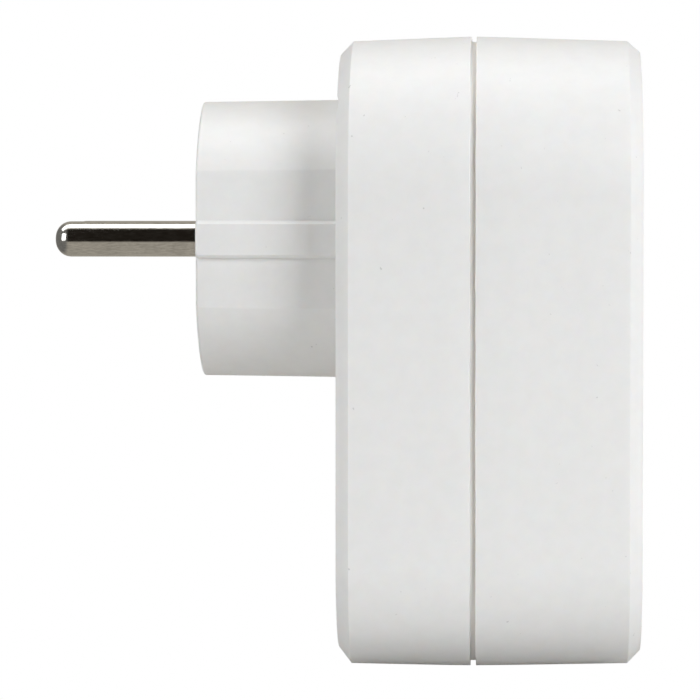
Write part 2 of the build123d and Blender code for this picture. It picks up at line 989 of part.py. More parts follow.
small_screw = (small_shank_radius, small_head_radius, small_head_height)
case_screws = make_screws(
    case_points,
    case_counterbore_depth,
    case_screw_end,
    case_shank_radius,
    case_head_radius,
    case_head_height,
)
carrier_screws = make_screws(ear_points, carrier_front, edge_chamfer + tab_gap, *small_screw)
retainer_screws = make_screws(
    retainer_points,
    retainer_front - retainer_thickness,
    floor_back,
    *small_screw,
)
main_board_screws = make_screws(board_points, main_board_front, board_screw_end, *small_screw)
display_board_screws = make_screws(
    board_points,
    display_board_x,
    inner_front - tab_gap,
    *small_screw,
)

pieces = {
    "rear_shell": rear_shell,
    "front_shell": front_shell,
    "plug_body": plug_body,
    "live_pin": live_pin,
    "neutral_pin": neutral_pin,
    "plug_earth_contact_upper": plug_earth_contact_upper,
    "plug_earth_contact_lower": plug_earth_contact_lower,
    "earth_bridge": earth_bridge,
    "socket_cup": socket_cup,
    "earth_clip_upper": earth_clip_upper,
    "earth_clip_lower": earth_clip_lower,
    "shutter": shutter,
    "shutter_spring": shutter_spring,
    "shutter_retainer": shutter_retainer,
    "contact_carrier": contact_carrier,
    "live_pin_strap": live_pin_strap,
    "neutral_pin_strap": neutral_pin_strap,
    "live_socket_contact": live_socket_contact,
    "neutral_socket_contact": neutral_socket_contact,
    "main_board": main_board,
    "display_board": display_board,
    "board_link_header": board_link_header,
    "board_link_pins": board_link_pins,
    "metering_chip": metering_chip,
    "controller_chip": controller_chip,
    "film_capacitor": film_capacitor,
    "smoothing_capacitor": smoothing_capacitor,
    "varistor": varistor,
    "fuse": fuse,
    "current_shunt": current_shunt,
    "rectifier_diodes": rectifier_diodes,
    "crystal": crystal,
    "backup_battery": backup_battery,
    "battery_tabs": battery_tabs,
    "display_window": display_window,
    "lcd_bezel": lcd_bezel,
    "lcd_glass": lcd_glass,
    "elastomer_strips": elastomer_strips,
    "tact_switches": tact_switches,
    "case_screws": case_screws,
    "carrier_screws": carrier_screws,
    "retainer_screws": retainer_screws,
    "main_board_screws": main_board_screws,
    "display_board_screws": display_board_screws,
}
for place, y in button_places.items():
    pieces[f"button_{place}"] = make_button(y)
    pieces[f"switch_plunger_{place}"] = make_plunger(y)

os.makedirs("parts", exist_ok=True)
for name, piece in pieces.items():
    piece.part.label = name
    export_step(piece.part, f"parts/{name}.step")
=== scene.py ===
import json
import math

import bmesh
import bpy
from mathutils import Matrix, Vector, noise


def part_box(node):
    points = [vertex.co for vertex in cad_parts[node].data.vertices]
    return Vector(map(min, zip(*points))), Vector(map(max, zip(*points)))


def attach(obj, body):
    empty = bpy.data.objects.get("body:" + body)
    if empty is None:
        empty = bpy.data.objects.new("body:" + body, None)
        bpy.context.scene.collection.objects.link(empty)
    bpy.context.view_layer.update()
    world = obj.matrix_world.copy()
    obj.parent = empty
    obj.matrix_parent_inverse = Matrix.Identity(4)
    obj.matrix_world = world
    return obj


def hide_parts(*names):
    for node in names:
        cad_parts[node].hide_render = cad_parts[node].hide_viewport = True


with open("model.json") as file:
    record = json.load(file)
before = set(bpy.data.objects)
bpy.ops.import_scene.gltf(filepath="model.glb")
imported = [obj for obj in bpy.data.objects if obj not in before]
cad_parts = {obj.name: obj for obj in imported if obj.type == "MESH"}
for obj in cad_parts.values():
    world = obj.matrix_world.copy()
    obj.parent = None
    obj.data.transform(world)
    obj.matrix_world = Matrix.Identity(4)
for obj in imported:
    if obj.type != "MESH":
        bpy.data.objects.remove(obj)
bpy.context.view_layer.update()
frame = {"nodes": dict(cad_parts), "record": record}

scene = bpy.context.scene

# Plug in power meter, in metres: +X points away from the wall, +Z is up
MM = 0.001
ROOT = "housing"

# Places read from the fixed frame
front_low, front_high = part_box("front_shell")
plug_low, plug_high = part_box("plug_body")
pin_low, pin_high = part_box("live_pin")
window_low, window_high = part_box("display_window")
lcd_low, lcd_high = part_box("lcd_glass")

SEAM_X = front_low.x
FRONT_X = front_high.x
HALF_WIDTH = front_high.y
CUP_FRONT_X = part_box("socket_cup")[1].x
TOP_Z = front_high.z
BOTTOM_Z = front_low.z

# Housing details that the boxes don't give
TOP_CORNER = 20.5 * MM
BOTTOM_CORNER = 14.0 * MM
WALL = 2.4 * MM
CHAMFER = 1.7 * MM
SIDE_DRAFT = 0.6 * MM
REAR_TOP_DRAFT = 0.6 * MM
REAR_BOTTOM_DRAFT = 0.2 * MM
FRONT_TOP_DRAFT = 0.65 * MM
FRONT_BOTTOM_DRAFT = 0.37 * MM
GROOVE_HALF = 0.37 * MM
GROOVE_DEPTH = 0.75 * MM
TONGUE_INSET = 1.5 * MM
TONGUE_HEIGHT = 1.8 * MM
TONGUE_GAP = 0.1 * MM
EDGE_ROUND = 0.22 * MM
LIP_ROUND = 0.07 * MM
LIP_WAVE = 0.075 * MM
LIP_DIP = 0.03 * MM
LIP_HEIGHT_SEED = 40.0
CHAMFER_FADE = 14.0 * MM
CHAMFER_DEEPER = 0.55 * MM
CHAMFER_SLIGHTER = 0.35 * MM
CORNER_STEPS = 26
EDGE_SPACING = 1.0 * MM
STRETCH_SPACING = 4 * MM
LIP_SIDE_DEPTH = GROOVE_DEPTH * 0.6
END_FACE_INSET = 3 * CHAMFER

SCREW_TOP = (20.3 * MM, 16.3 * MM)
SCREW_BOTTOM = (20.6 * MM, -48.8 * MM)
CASE_POINTS = [(side * y, z) for y, z in (SCREW_TOP, SCREW_BOTTOM) for side in (-1, 1)]
CASE_BOSS_RADIUS = 3.8 * MM
FRONT_BOSS_RADIUS = 2.9 * MM
COUNTERBORE_RADIUS = 3.0 * MM
COUNTERBORE_DEPTH = 9.0 * MM
SCREW_HOLE_RADIUS = 1.6 * MM

# Plug details: its radius, and how far its flats and ribs lie from the axis, at the face and at the root
PLUG_FACE = (19.0 * MM, 16.75 * MM, 17.85 * MM)
PLUG_ROOT = (19.25 * MM, 16.9 * MM, 18.0 * MM)
PLUG_RIB_HALF = 2.25 * MM
RIB_BEVEL = 0.4 * MM
RIB_ROUNDS = (0.1 * MM, 0.1 * MM, 0.15 * MM)
PLUG_ARC_STEPS = 56
PLUG_OPENING_GAP = 0.06 * MM
PIN_RADIUS = 2.4 * MM
PIN_Y = 9.5 * MM

# ---- materials

FINISHES = {}


def new_material(name):
    """Node material with its tree and its Principled shader; FINISHES keeps it by name."""
    material = bpy.data.materials.new(name)
    material.use_nodes = True
    FINISHES[name] = material
    tree = material.node_tree
    shader = tree.nodes["Principled BSDF"]
    return material, tree, shader


def add_node(tree, kind, **settings):
    """Adds a node and sets its plain properties."""
    node = tree.nodes.new(kind)
    for key, value in settings.items():
        setattr(node, key, value)
    return node


def set_inputs(node, values):
    """Sets unlinked inputs of a node by name."""
    for name, value in values.items():
        node.inputs[name].default_value = value


def object_space(tree):
    """Output with each point's place in object space."""
    return add_node(tree, "ShaderNodeTexCoord").outputs["Object"]


def noise_factor(tree, scale, detail=3.0, roughness=0.5, stretch=None):
    """Factor output of a noise texture in object space, optionally stretched along an axis."""
    source = object_space(tree)
    if stretch:
        mapping = add_node(tree, "ShaderNodeMapping")
        mapping.inputs["Scale"].default_value = stretch
        tree.links.new(source, mapping.inputs["Vector"])
        source = mapping.outputs["Vector"]
    texture = add_node(tree, "ShaderNodeTexNoise")
    set_inputs(texture, {"Scale": scale, "Detail": detail, "Roughness": roughness})
    tree.links.new(source, texture.inputs["Vector"])
    return texture.outputs["Fac"]


def math_node(tree, operation, *values):
    """Result of a math node; the values are outputs or numbers."""
    node = add_node(tree, "ShaderNodeMath", operation=operation)
    for socket, value in zip(node.inputs, values):
        if isinstance(value, float):
            socket.default_value = value
        else:
            tree.links.new(value, socket)
    return node.outputs["Value"]


def ramp(tree, factor, stops):
    """Colour ramp over a factor; stops are (position, grey or colour)."""
    node = add_node(tree, "ShaderNodeValToRGB")
    while len(node.color_ramp.elements) < len(stops):
        node.color_ramp.elements.new(0.5)
    for element, (position, colour) in zip(node.color_ramp.elements, stops):
        element.position = position
        element.color = (*colour, 1.0) if isinstance(colour, tuple) else (colour, colour, colour, 1.0)
    tree.links.new(factor, node.inputs["Fac"])
    return node.outputs["Color"]


def multiply(tree, first, second):
    """Multiplies two colours."""
    node = add_node(tree, "ShaderNodeMix", data_type="RGBA", blend_type="MULTIPLY")
    node.inputs["Factor"].default_value = 1.0
    tree.links.new(first, node.inputs["A"])
    tree.links.new(second, node.inputs["B"])
    return node.outputs["Result"]


def bump(tree, shader, heights):
    """Chains bump nodes: heights are (height output, distance in metres, strength)."""
    previous = None
    for height, distance, strength in heights:
        node = add_node(tree, "ShaderNodeBump")
        set_inputs(node, {"Distance": distance, "Strength": strength})
        tree.links.new(height, node.inputs["Height"])
        if previous:
            tree.links.new(previous, node.inputs["Normal"])
        previous = node.outputs["Normal"]
    tree.links.new(previous, shader.inputs["Normal"])


# Painted warm bounce light in the seam groove: a paler, warmer colour that stands in for light reflected
# between the groove's walls
SEAM_LIGHT_COLOUR = (0.95, 0.912, 0.862)
SEAM_LIGHT_X = SEAM_X + 0.1 * MM
SEAM_LIGHT_HALF = 0.24 * MM
SEAM_LIGHT_FADE = 0.12 * MM


def paint_seam_light(tree, base):
    """Painted warm bounce light on the floor of the seam groove, mostly towards the front lip: a paler,
    warmer colour in place of the light reflected inside it.
    """
    split = add_node(tree, "ShaderNodeSeparateXYZ")
    tree.links.new(object_space(tree), split.inputs["Vector"])
    distance = math_node(tree, "ABSOLUTE", math_node(tree, "SUBTRACT", split.outputs["X"], SEAM_LIGHT_X))
    share = add_node(tree, "ShaderNodeMapRange")
    set_inputs(share, {"From Min": SEAM_LIGHT_HALF, "From Max": SEAM_LIGHT_HALF + SEAM_LIGHT_FADE})
    tree.links.new(distance, share.inputs["Value"])
    node = add_node(tree, "ShaderNodeMix", data_type="RGBA")
    tree.links.new(share.outputs["Result"], node.inputs["Factor"])
    node.inputs["A"].default_value = (*SEAM_LIGHT_COLOUR, 1.0)
    tree.links.new(base, node.inputs["B"])
    return node.outputs["Result"]


def moulded_plastic(name, colour, roughness, grain=0.5, scatter=0.0, painted_seam_light=False):
    """Moulded plastic: faint mottling, fine grain, a few dark specks and slow waves; optionally painted warm
    bounce light in the seam groove.
    """
    material, tree, shader = new_material(name)
    if scatter:
        set_inputs(shader, {
            "Subsurface Weight": scatter,
            "Subsurface Radius": (1.0, 0.7, 0.5),
            "Subsurface Scale": 0.4 * MM,
        })
    mottling = noise_factor(tree, 420.0, 6.0, 0.6)
    low = tuple(c * 0.98 for c in colour)
    base = ramp(tree, mottling, [(0.36, low), (0.6, colour)])
    specks = noise_factor(tree, 900.0, 2.0, 0.7)
    speck_mask = ramp(tree, specks, [(0.0, 0.45), (0.231, 0.8), (0.266, 1.0)])
    base = multiply(tree, base, speck_mask)
    # Painted warm bounce light in the seam groove
    if painted_seam_light:
        base = paint_seam_light(tree, base)
    tree.links.new(base, shader.inputs["Base Color"])
    gloss = noise_factor(tree, 250.0, 3.0)
    rough = ramp(tree, gloss, [(0.25, roughness - 0.05), (0.75, roughness + 0.06)])
    tree.links.new(rough, shader.inputs["Roughness"])
    fine = noise_factor(tree, 2800.0, 1.0, 0.5)
    waves = noise_factor(tree, 110.0, 2.0, 0.4)
    bump(tree, shader, [(fine, 0.012 * MM * grain, 0.5), (waves, 0.05 * MM, 0.25)])
    return material


def plated_metal(name, colour, roughness, brush=(1.0, 1.0, 1.0), scratch=0.4):
    """Plated or bare metal with drawn scratches along one axis and a slightly dull bloom."""
    material, tree, shader = new_material(name)
    shader.inputs["Metallic"].default_value = 1.0
    bloom = noise_factor(tree, 180.0, 4.0)
    low = tuple(c * 0.88 for c in colour)
    lines = noise_factor(tree, 4500.0, 3.0, 0.6, brush)
    streaks = ramp(tree, lines, [(0.36, 0.8), (0.6, 1.0)])
    base = multiply(tree, ramp(tree, bloom, [(0.3, low), (0.7, colour)]), streaks)
    tree.links.new(base, shader.inputs["Base Color"])
    rough = ramp(tree, lines, [(0.3, roughness * 0.7), (0.75, roughness * 1.5)])
    tree.links.new(rough, shader.inputs["Roughness"])
    bump(tree, shader, [(lines, 0.004 * MM, scratch)])
    return material


# The housing's seam groove gets painted warm bounce light
housing_white = moulded_plastic(
    "housing_white", (0.868, 0.86, 0.845), 0.42, grain=0.6, scatter=0.25, painted_seam_light=True
)
plug_white = moulded_plastic("plug_white", (0.865, 0.857, 0.842), 0.33, grain=0.7, scatter=0.25)
nickel = plated_metal("nickel_plate", (0.76, 0.74, 0.695), 0.12, (0.2, 1.0, 1.0), 0.3)
plated_metal("brass", (0.78, 0.57, 0.27), 0.3, (1.0, 0.2, 1.0))
plated_metal("spring_steel", (0.56, 0.56, 0.57), 0.18, scratch=0.2)
plated_metal("shunt_metal", (0.6, 0.48, 0.38), 0.32, (1.0, 0.1, 1.0))
plated_metal("steel_can", (0.62, 0.62, 0.63), 0.22, (0.1, 1.0, 1.0))
screw_steel = plated_metal("screw_steel", (0.5, 0.5, 0.49), 0.3, scratch=0.5)
moulded_plastic("carrier_plastic", (0.72, 0.7, 0.64), 0.5)
moulded_plastic("shutter_plastic", (0.8, 0.8, 0.785), 0.36)
button_grey = moulded_plastic("button_grey", (0.36, 0.37, 0.39), 0.46, grain=0.8)
moulded_plastic("black_plastic", (0.025, 0.025, 0.027), 0.42, grain=0.7)
moulded_plastic("capacitor_case", (0.72, 0.5, 0.06), 0.38)
moulded_plastic("varistor_coat", (0.05, 0.13, 0.38), 0.3, grain=0.2)
moulded_plastic("battery_sleeve", (0.06, 0.3, 0.12), 0.28, grain=0.2)
moulded_plastic("capacitor_can", (0.06, 0.075, 0.2), 0.26, grain=0.2)


def see_through(name, colour, alpha, roughness):
    """Clear part: mostly transparent, with a glossy skin whose smear varies a little."""
    material, tree, shader = new_material(name)
    set_inputs(shader, {
        "Base Color": (*colour, 1.0),
        "Alpha": alpha,
        "Coat Weight": 0.6,
        "Coat Roughness": 0.04,
    })
    smear = noise_factor(tree, 140.0, 4.0)
    rough = ramp(tree, smear, [(0.35, roughness), (0.75, roughness * 2.2)])
    tree.links.new(rough, shader.inputs["Roughness"])
    bump(tree, shader, [(noise_factor(tree, 60.0, 1.0), 0.03 * MM, 0.2)])
    return material


clear_window = see_through("clear_window", (0.3, 0.32, 0.32), 0.1, 0.05)
see_through("fuse_glass", (0.82, 0.86, 0.86), 0.4, 0.06)


def striped(name, first, second, scale, direction, roughness):
    """Two colours in fine parallel bands of equal width along one axis."""
    _, tree, shader = new_material(name)
    wave = add_node(tree, "ShaderNodeTexWave", wave_type="BANDS", bands_direction=direction)
    set_inputs(wave, {"Scale": scale, "Distortion": 0.1})
    tree.links.new(object_space(tree), wave.inputs["Vector"])
    bands = ramp(tree, wave.outputs["Fac"], [(0.42, first), (0.58, second)])
    tree.links.new(bands, shader.inputs["Base Color"])
    rough = ramp(tree, noise_factor(tree, 300.0), [(0.3, roughness - 0.05), (0.7, roughness + 0.08)])
    tree.links.new(rough, shader.inputs["Roughness"])
    bump(tree, shader, [(wave.outputs["Fac"], 0.01 * MM, 0.3)])


striped("elastomer", (0.1, 0.08, 0.08), (0.66, 0.45, 0.42), 1200.0, "Y", 0.5)


def board_finish():
    """Green solder mask over copper tracks."""
    _, tree, shader = new_material("circuit_board")
    bricks = add_node(tree, "ShaderNodeTexBrick")
    turned = add_node(tree, "ShaderNodeMapping")
    turned.inputs["Rotation"].default_value = (0.0, math.radians(90.0), math.radians(90.0))
    tree.links.new(object_space(tree), turned.inputs["Vector"])
    tree.links.new(turned.outputs["Vector"], bricks.inputs["Vector"])
    mask = (0.012, 0.11, 0.045)
    track = (0.03, 0.2, 0.08)
    set_inputs(bricks, {
        "Scale": 330.0,
        "Mortar Size": 0.028,
        "Mortar Smooth": 0.4,
        "Brick Width": 2.2,
        "Row Height": 0.75,
        "Color1": (*mask, 1.0),
        "Color2": (*(c * 1.15 for c in mask), 1.0),
        "Mortar": (*track, 1.0),
    })
    cloud = ramp(tree, noise_factor(tree, 90.0, 3.0), [(0.3, 0.85), (0.7, 1.0)])
    tree.links.new(multiply(tree, bricks.outputs["Color"], cloud), shader.inputs["Base Color"])
    rough = ramp(tree, noise_factor(tree, 400.0), [(0.3, 0.22), (0.7, 0.36)])
    tree.links.new(rough, shader.inputs["Roughness"])
    bump(tree, shader, [(bricks.outputs["Fac"], 0.02 * MM, 0.5), (noise_factor(tree, 900.0), 0.01 * MM, 0.3)])


board_finish()


def lcd_finish():
    """Reflective display glass: grey-green with a faint fine grain and a polished front."""
    material, tree, shader = new_material("display_glass")
    grain = noise_factor(tree, 2600.0, 2.0)
    cloud = noise_factor(tree, 40.0, 2.0)
    base = ramp(tree, grain, [(0.3, (0.36, 0.41, 0.33)), (0.7, (0.42, 0.47, 0.38))])
    shade = ramp(tree, cloud, [(0.3, 0.94), (0.7, 1.0)])
    tree.links.new(multiply(tree, base, shade), shader.inputs["Base Color"])
    tree.links.new(ramp(tree, cloud, [(0.3, 0.16), (0.7, 0.22)]), shader.inputs["Roughness"])
    return material


display_glass = lcd_finish()
lcd_ink = moulded_plastic("lcd_ink", (0.03, 0.033, 0.035), 0.4, grain=0.1)

# ---- mesh helpers

MERGE_DISTANCE = 0.0005 * MM
OVERLAP = 0.01 * MM
POINT_RADIUS = 0.02 * MM
SHARP_ANGLE = 35.0
FINE_SHARP_ANGLE = 30.0
CUTTER_STEPS = 64
ROUND_STEPS = 5
SMALL_CORNER_STEPS = 4
PLATE_CORNER_STEPS = 3


def mesh_object(name, vertices, faces, material, sharp_degrees=SHARP_ANGLE):
    """Mesh object from plain lists, with its normals outwards and its shading finished."""
    mesh = bpy.data.meshes.new(name)
    mesh.from_pydata([tuple(v) for v in vertices], [], faces)
    work = bmesh.new()
    work.from_mesh(mesh)
    bmesh.ops.remove_doubles(work, verts=work.verts, dist=MERGE_DISTANCE)
    bmesh.ops.recalc_face_normals(work, faces=work.faces)
    work.to_mesh(mesh)
    work.free()
    obj = bpy.data.objects.new(name, mesh)
    scene.collection.objects.link(obj)
    mesh.materials.append(material)
    finish_shading(obj, sharp_degrees)
    return obj


def finish_shading(obj, sharp_degrees=SHARP_ANGLE):
    """Smooth shading with edges sharper than the angle kept sharp."""
    for polygon in obj.data.polygons:
        polygon.use_smooth = True
    obj.data.set_sharp_from_angle(angle=math.radians(sharp_degrees))


def finish_cut(obj, sharp_degrees=SHARP_ANGLE):
    """Tidies a mesh after its booleans: splits many-sided faces, drops those with no area, shades it."""
    work = bmesh.new()
    work.from_mesh(obj.data)
    bmesh.ops.dissolve_degenerate(work, dist=MERGE_DISTANCE, edges=work.edges)
    many_sided = [face for face in work.faces if len(face.verts) > 4]
    bmesh.ops.triangulate(work, faces=many_sided)
    bmesh.ops.dissolve_degenerate(work, dist=MERGE_DISTANCE, edges=work.edges)
    bmesh.ops.remove_doubles(work, verts=work.verts, dist=MERGE_DISTANCE)
    work.to_mesh(obj.data)
    work.free()
    finish_shading(obj, sharp_degrees)


def ring_loft(rings):
    """Vertices and faces of a closed solid through rings of equal length, with both ends capped."""
    count = len(rings[0])
    vertices = [point for ring in rings for point in ring]
    faces = []
    for r in range(len(rings) - 1):
        a, b = r * count, (r + 1) * count
        for i in range(count):
            j = (i + 1) % count
            faces.append((a + i, a + j, b + j, b + i))
    faces.append(tuple(reversed(range(count))))
    faces.append(tuple(range((len(rings) - 1) * count, len(rings) * count)))
    return vertices, faces


def quarter_turn(steps=ROUND_STEPS):
    """Angles from 0 to 90 degrees in equal steps."""
    return [math.pi / 2 * i / steps for i in range(steps + 1)]


def edge_round(radius, steps=ROUND_STEPS):
    """Offsets along a rounded edge, as (distance before its end, distance from its start)."""
    return [(radius * (1 - math.sin(a)), radius * (1 - math.cos(a))) for a in quarter_turn(steps)]


def circle_ring(radius, y=0.0, z=0.0, steps=128):
    """Closed ring of (y, z) points round a circle."""
    return [
        (y + radius * math.cos(math.tau * i / steps), z + radius * math.sin(math.tau * i / steps))
        for i in range(steps)
    ]


def rounded_rectangle(half_y, half_z, radius, y=0.0, z=0.0, steps=8):
    """Closed ring of (y, z) points round a rectangle with round corners."""
    ring = []
    for k, (sy, sz) in enumerate(((1, 1), (-1, 1), (-1, -1), (1, -1))):
        for i in range(steps + 1):
            a = math.radians(90.0 * k + 90.0 * i / steps)
            ring.append((
                y + sy * (half_y - radius) + radius * math.cos(a),
                z + sz * (half_z - radius) + radius * math.sin(a),
            ))
    return ring


def circle_section(radius, y=0.0, steps=128):
    """Section that gives a circle grown by any amount."""
    return lambda grow: circle_ring(radius + grow, y, 0.0, steps)


def rectangle_section(half_y, half_z, corner, y=0.0, z=0.0, steps=8):
    """Section that gives a rectangle with round corners, grown on every side by any amount."""
    return lambda grow: rounded_rectangle(half_y + grow, half_z + grow, corner + grow, y, z, steps)


def plate_solid(name, stations, section, material, sharp_degrees=SHARP_ANGLE):
    """Closed solid along X through rings made by section(size) at each (x, size) station."""
    rings = [[(x, y, z) for y, z in section(size)] for x, size in stations]
    return mesh_object(name, *ring_loft(rings), material, sharp_degrees)


def lathe_solid(name, profile, material, y=0.0, z=0.0, steps=96, sharp_degrees=SHARP_ANGLE):
    """Closed solid turned about an axis along X; profile lists (x, radius) from end to end."""
    return plate_solid(
        name, profile, lambda radius: circle_ring(radius, y, z, steps), material, sharp_degrees
    )


def cylinder_x(x0, x1, radius, y=0.0, z=0.0):
    """Plain closed cylinder along X, used as a cutter or an added post."""
    return lathe_solid("cylinder", [(x0, radius), (x1, radius)], housing_white, y, z, CUTTER_STEPS)


def edge_stations(x0, x1, radius, steps=ROUND_STEPS):
    """Stations from x0 to x1 with the last edge rounded by radius."""
    return [(x0, 0.0)] + [(x1 - back, -inset) for back, inset in edge_round(radius, steps)]


def flared_hole(target, section, x0, mouth_x, flare):
    """Cuts a hole along X that widens in a small round where it leaves the surface at mouth_x."""
    side = 1 if mouth_x > x0 else -1
    stations = [(x0, 0.0)] + [(mouth_x - side * back, out) for back, out in edge_round(flare)]
    stations.append((mouth_x + side * MM, flare))
    boolean(target, plate_solid("cutter", stations, section, housing_white))


def rounded_profile(points, radii, steps=4):
    """Open polyline of (x, inset) with each inner corner replaced by a small arc."""
    made = [points[0]]
    for k in range(1, len(points) - 1):
        before, here, after = (Vector(points[k + d]) for d in (-1, 0, 1))
        radius = radii[k - 1]
        if not radius:
            made.append(tuple(here))
            continue
        into = (before - here).normalized()
        out = (after - here).normalized()
        half = into.angle(out) / 2
        reach = radius / math.tan(half)
        centre = here + (into + out).normalized() * (radius / math.sin(half))
        start = here + into * reach - centre
        end = here + out * reach - centre
        sweep = start.angle_signed(end)
        for i in range(steps + 1):
            a = -sweep * i / steps
            turned = Vector((
                start.x * math.cos(a) - start.y * math.sin(a),
                start.x * math.sin(a) + start.y * math.cos(a),
            ))
            made.append(tuple(centre + turned))
    made.append(points[-1])
    return made


def mirrored_ring(x, side, radius, steps):
    """Ring symmetric about both axes: side runs up from the Y axis, an arc takes it on to the Z axis."""
    end_y, end_z = side[-1]
    start = math.atan2(end_z, end_y)
    first = list(side)
    for i in range(1, steps + 1):
        a = start + (math.pi / 2 - start) * i / steps
        first.append((radius * math.cos(a), radius * math.sin(a)))
    ring = [(x, y, z) for y, z in first]
    ring += [(x, -y, z) for y, z in reversed(first[:-1])]
    ring += [(x, -y, -z) for y, z in first[1:]]
    ring += [(x, y, -z) for y, z in reversed(first[1:-1])]
    return ring


def boolean(target, tool, operation="DIFFERENCE"):
    """Applies one boolean with the tool, by default a cut, and removes the tool."""
    modifier = target.modifiers.new("cut", "BOOLEAN")
    modifier.operation = operation
    modifier.solver = "EXACT"
    modifier.object = tool
    graph = bpy.context.evaluated_depsgraph_get()
    mesh = bpy.data.meshes.new_from_object(target.evaluated_get(graph))
    target.modifiers.clear()
    old, target.data = target.data, mesh
    bpy.data.meshes.remove(old)
    bpy.data.objects.remove(tool)


def settle(piece, slot, *nodes, body=ROOT):
    """Sets a new piece's body and hides the CAD nodes that it stands for; the slot is not used."""
    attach(piece, body)
    if nodes:
        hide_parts(*nodes)


# ---- housing shells


def housing_limits(x):
    """Half width, top and bottom of the drafted housing at depth x."""
    if x < SEAM_X:
        run = (SEAM_X - x) / (SEAM_X - CHAMFER)
        top_draft, bottom_draft = REAR_TOP_DRAFT, REAR_BOTTOM_DRAFT
    else:
        run = (x - SEAM_X) / (FRONT_X - CHAMFER - SEAM_X)
        top_draft, bottom_draft = FRONT_TOP_DRAFT, FRONT_BOTTOM_DRAFT
    return HALF_WIDTH - SIDE_DRAFT * run, TOP_Z - top_draft * run, BOTTOM_Z + bottom_draft * run


side_steps = round((TOP_Z - BOTTOM_Z - TOP_CORNER - BOTTOM_CORNER) / EDGE_SPACING)
top_steps = round((2 * HALF_WIDTH - 2 * TOP_CORNER) / EDGE_SPACING)
bottom_steps = round((2 * HALF_WIDTH - 2 * BOTTOM_CORNER) / EDGE_SPACING)


def outline_ring(x, inset, x_shift=None, inset_shift=None):
    """Rounded outline at depth x, set inwards by inset; the shifts move points along X and outwards."""
    half, top, bottom = housing_limits(x)
    half, top, bottom = half - inset, top - inset, bottom + inset
    upper, lower = TOP_CORNER - inset, BOTTOM_CORNER - inset
    corners = (
        (half - upper, top - upper, upper, 0.0),
        (-half + upper, top - upper, upper, 90.0),
        (-half + lower, bottom + lower, lower, 180.0),
        (half - lower, bottom + lower, lower, 270.0),
    )
    runs = (top_steps, side_steps, bottom_steps, side_steps)
    flat = []
    for k, (cy, cz, radius, start) in enumerate(corners):
        for i in range(CORNER_STEPS + 1):
            a = math.radians(start + 90.0 * i / CORNER_STEPS)
            flat.append((cy + radius * math.cos(a), cz + radius * math.sin(a), math.cos(a), math.sin(a)))
        next_y, next_z, reach, following = corners[(k + 1) % 4]
        a = math.radians(following)
        y, z, ny, nz = flat[-1]
        goal_y, goal_z = next_y + reach * math.cos(a), next_z + reach * math.sin(a)
        for i in range(1, runs[k]):
            t = i / runs[k]
            flat.append((y + (goal_y - y) * t, z + (goal_z - z) * t, ny, nz))
    ring = []
    for y, z, ny, nz in flat:
        dx = x_shift(y, z) if x_shift else 0.0
        out = inset_shift(y, z) if inset_shift else 0.0
        ring.append((x + dx, y + ny * out, z + nz * out))
    return ring


def waviness(scale, size, seed):
    """Smooth random shift that depends on the place along the outline."""
    return lambda y, z: size * noise.noise(Vector((y * scale, z * scale, seed)))


SLOW_WAVES = 90.0
FINE_WAVES = 600.0
FINE_SHARE = 0.8
FINE_SEED = 7.0
NICK_WAVES = 260.0
NICK_SEED = 19.0
NICK_LIMIT = 0.45
NICK_GAIN = 5.0


def ragged(size, seed, bias=0.0):
    """Uneven moulded lip: a slow wave, a finer one and a few small nicks."""
    slow = waviness(SLOW_WAVES, size, seed)
    fine = waviness(FINE_WAVES, size * FINE_SHARE, seed + FINE_SEED)
    nicks = waviness(NICK_WAVES, 1.0, seed + NICK_SEED)

    def shift(y, z):
        nick = max(0.0, nicks(y, z) - NICK_LIMIT) * size * NICK_GAIN
        return slow(y, z) + fine(y, z) - nick - bias
    return shift


def ease(share):
    """Smooth step from 0 to 1."""
    share = max(0.0, min(1.0, share))
    return share * share * (3 - 2 * share)


def chamfer_growth(side):
    """How the chamfer varies: deeper at the foot of the wall side, slighter at the top of the front."""
    def shift(_, z):
        if side < 0:
            return -CHAMFER_DEEPER * ease((BOTTOM_Z + CHAMFER_FADE - z) / CHAMFER_FADE)
        return CHAMFER_SLIGHTER * ease((z - TOP_Z + CHAMFER_FADE) / CHAMFER_FADE)
    return shift


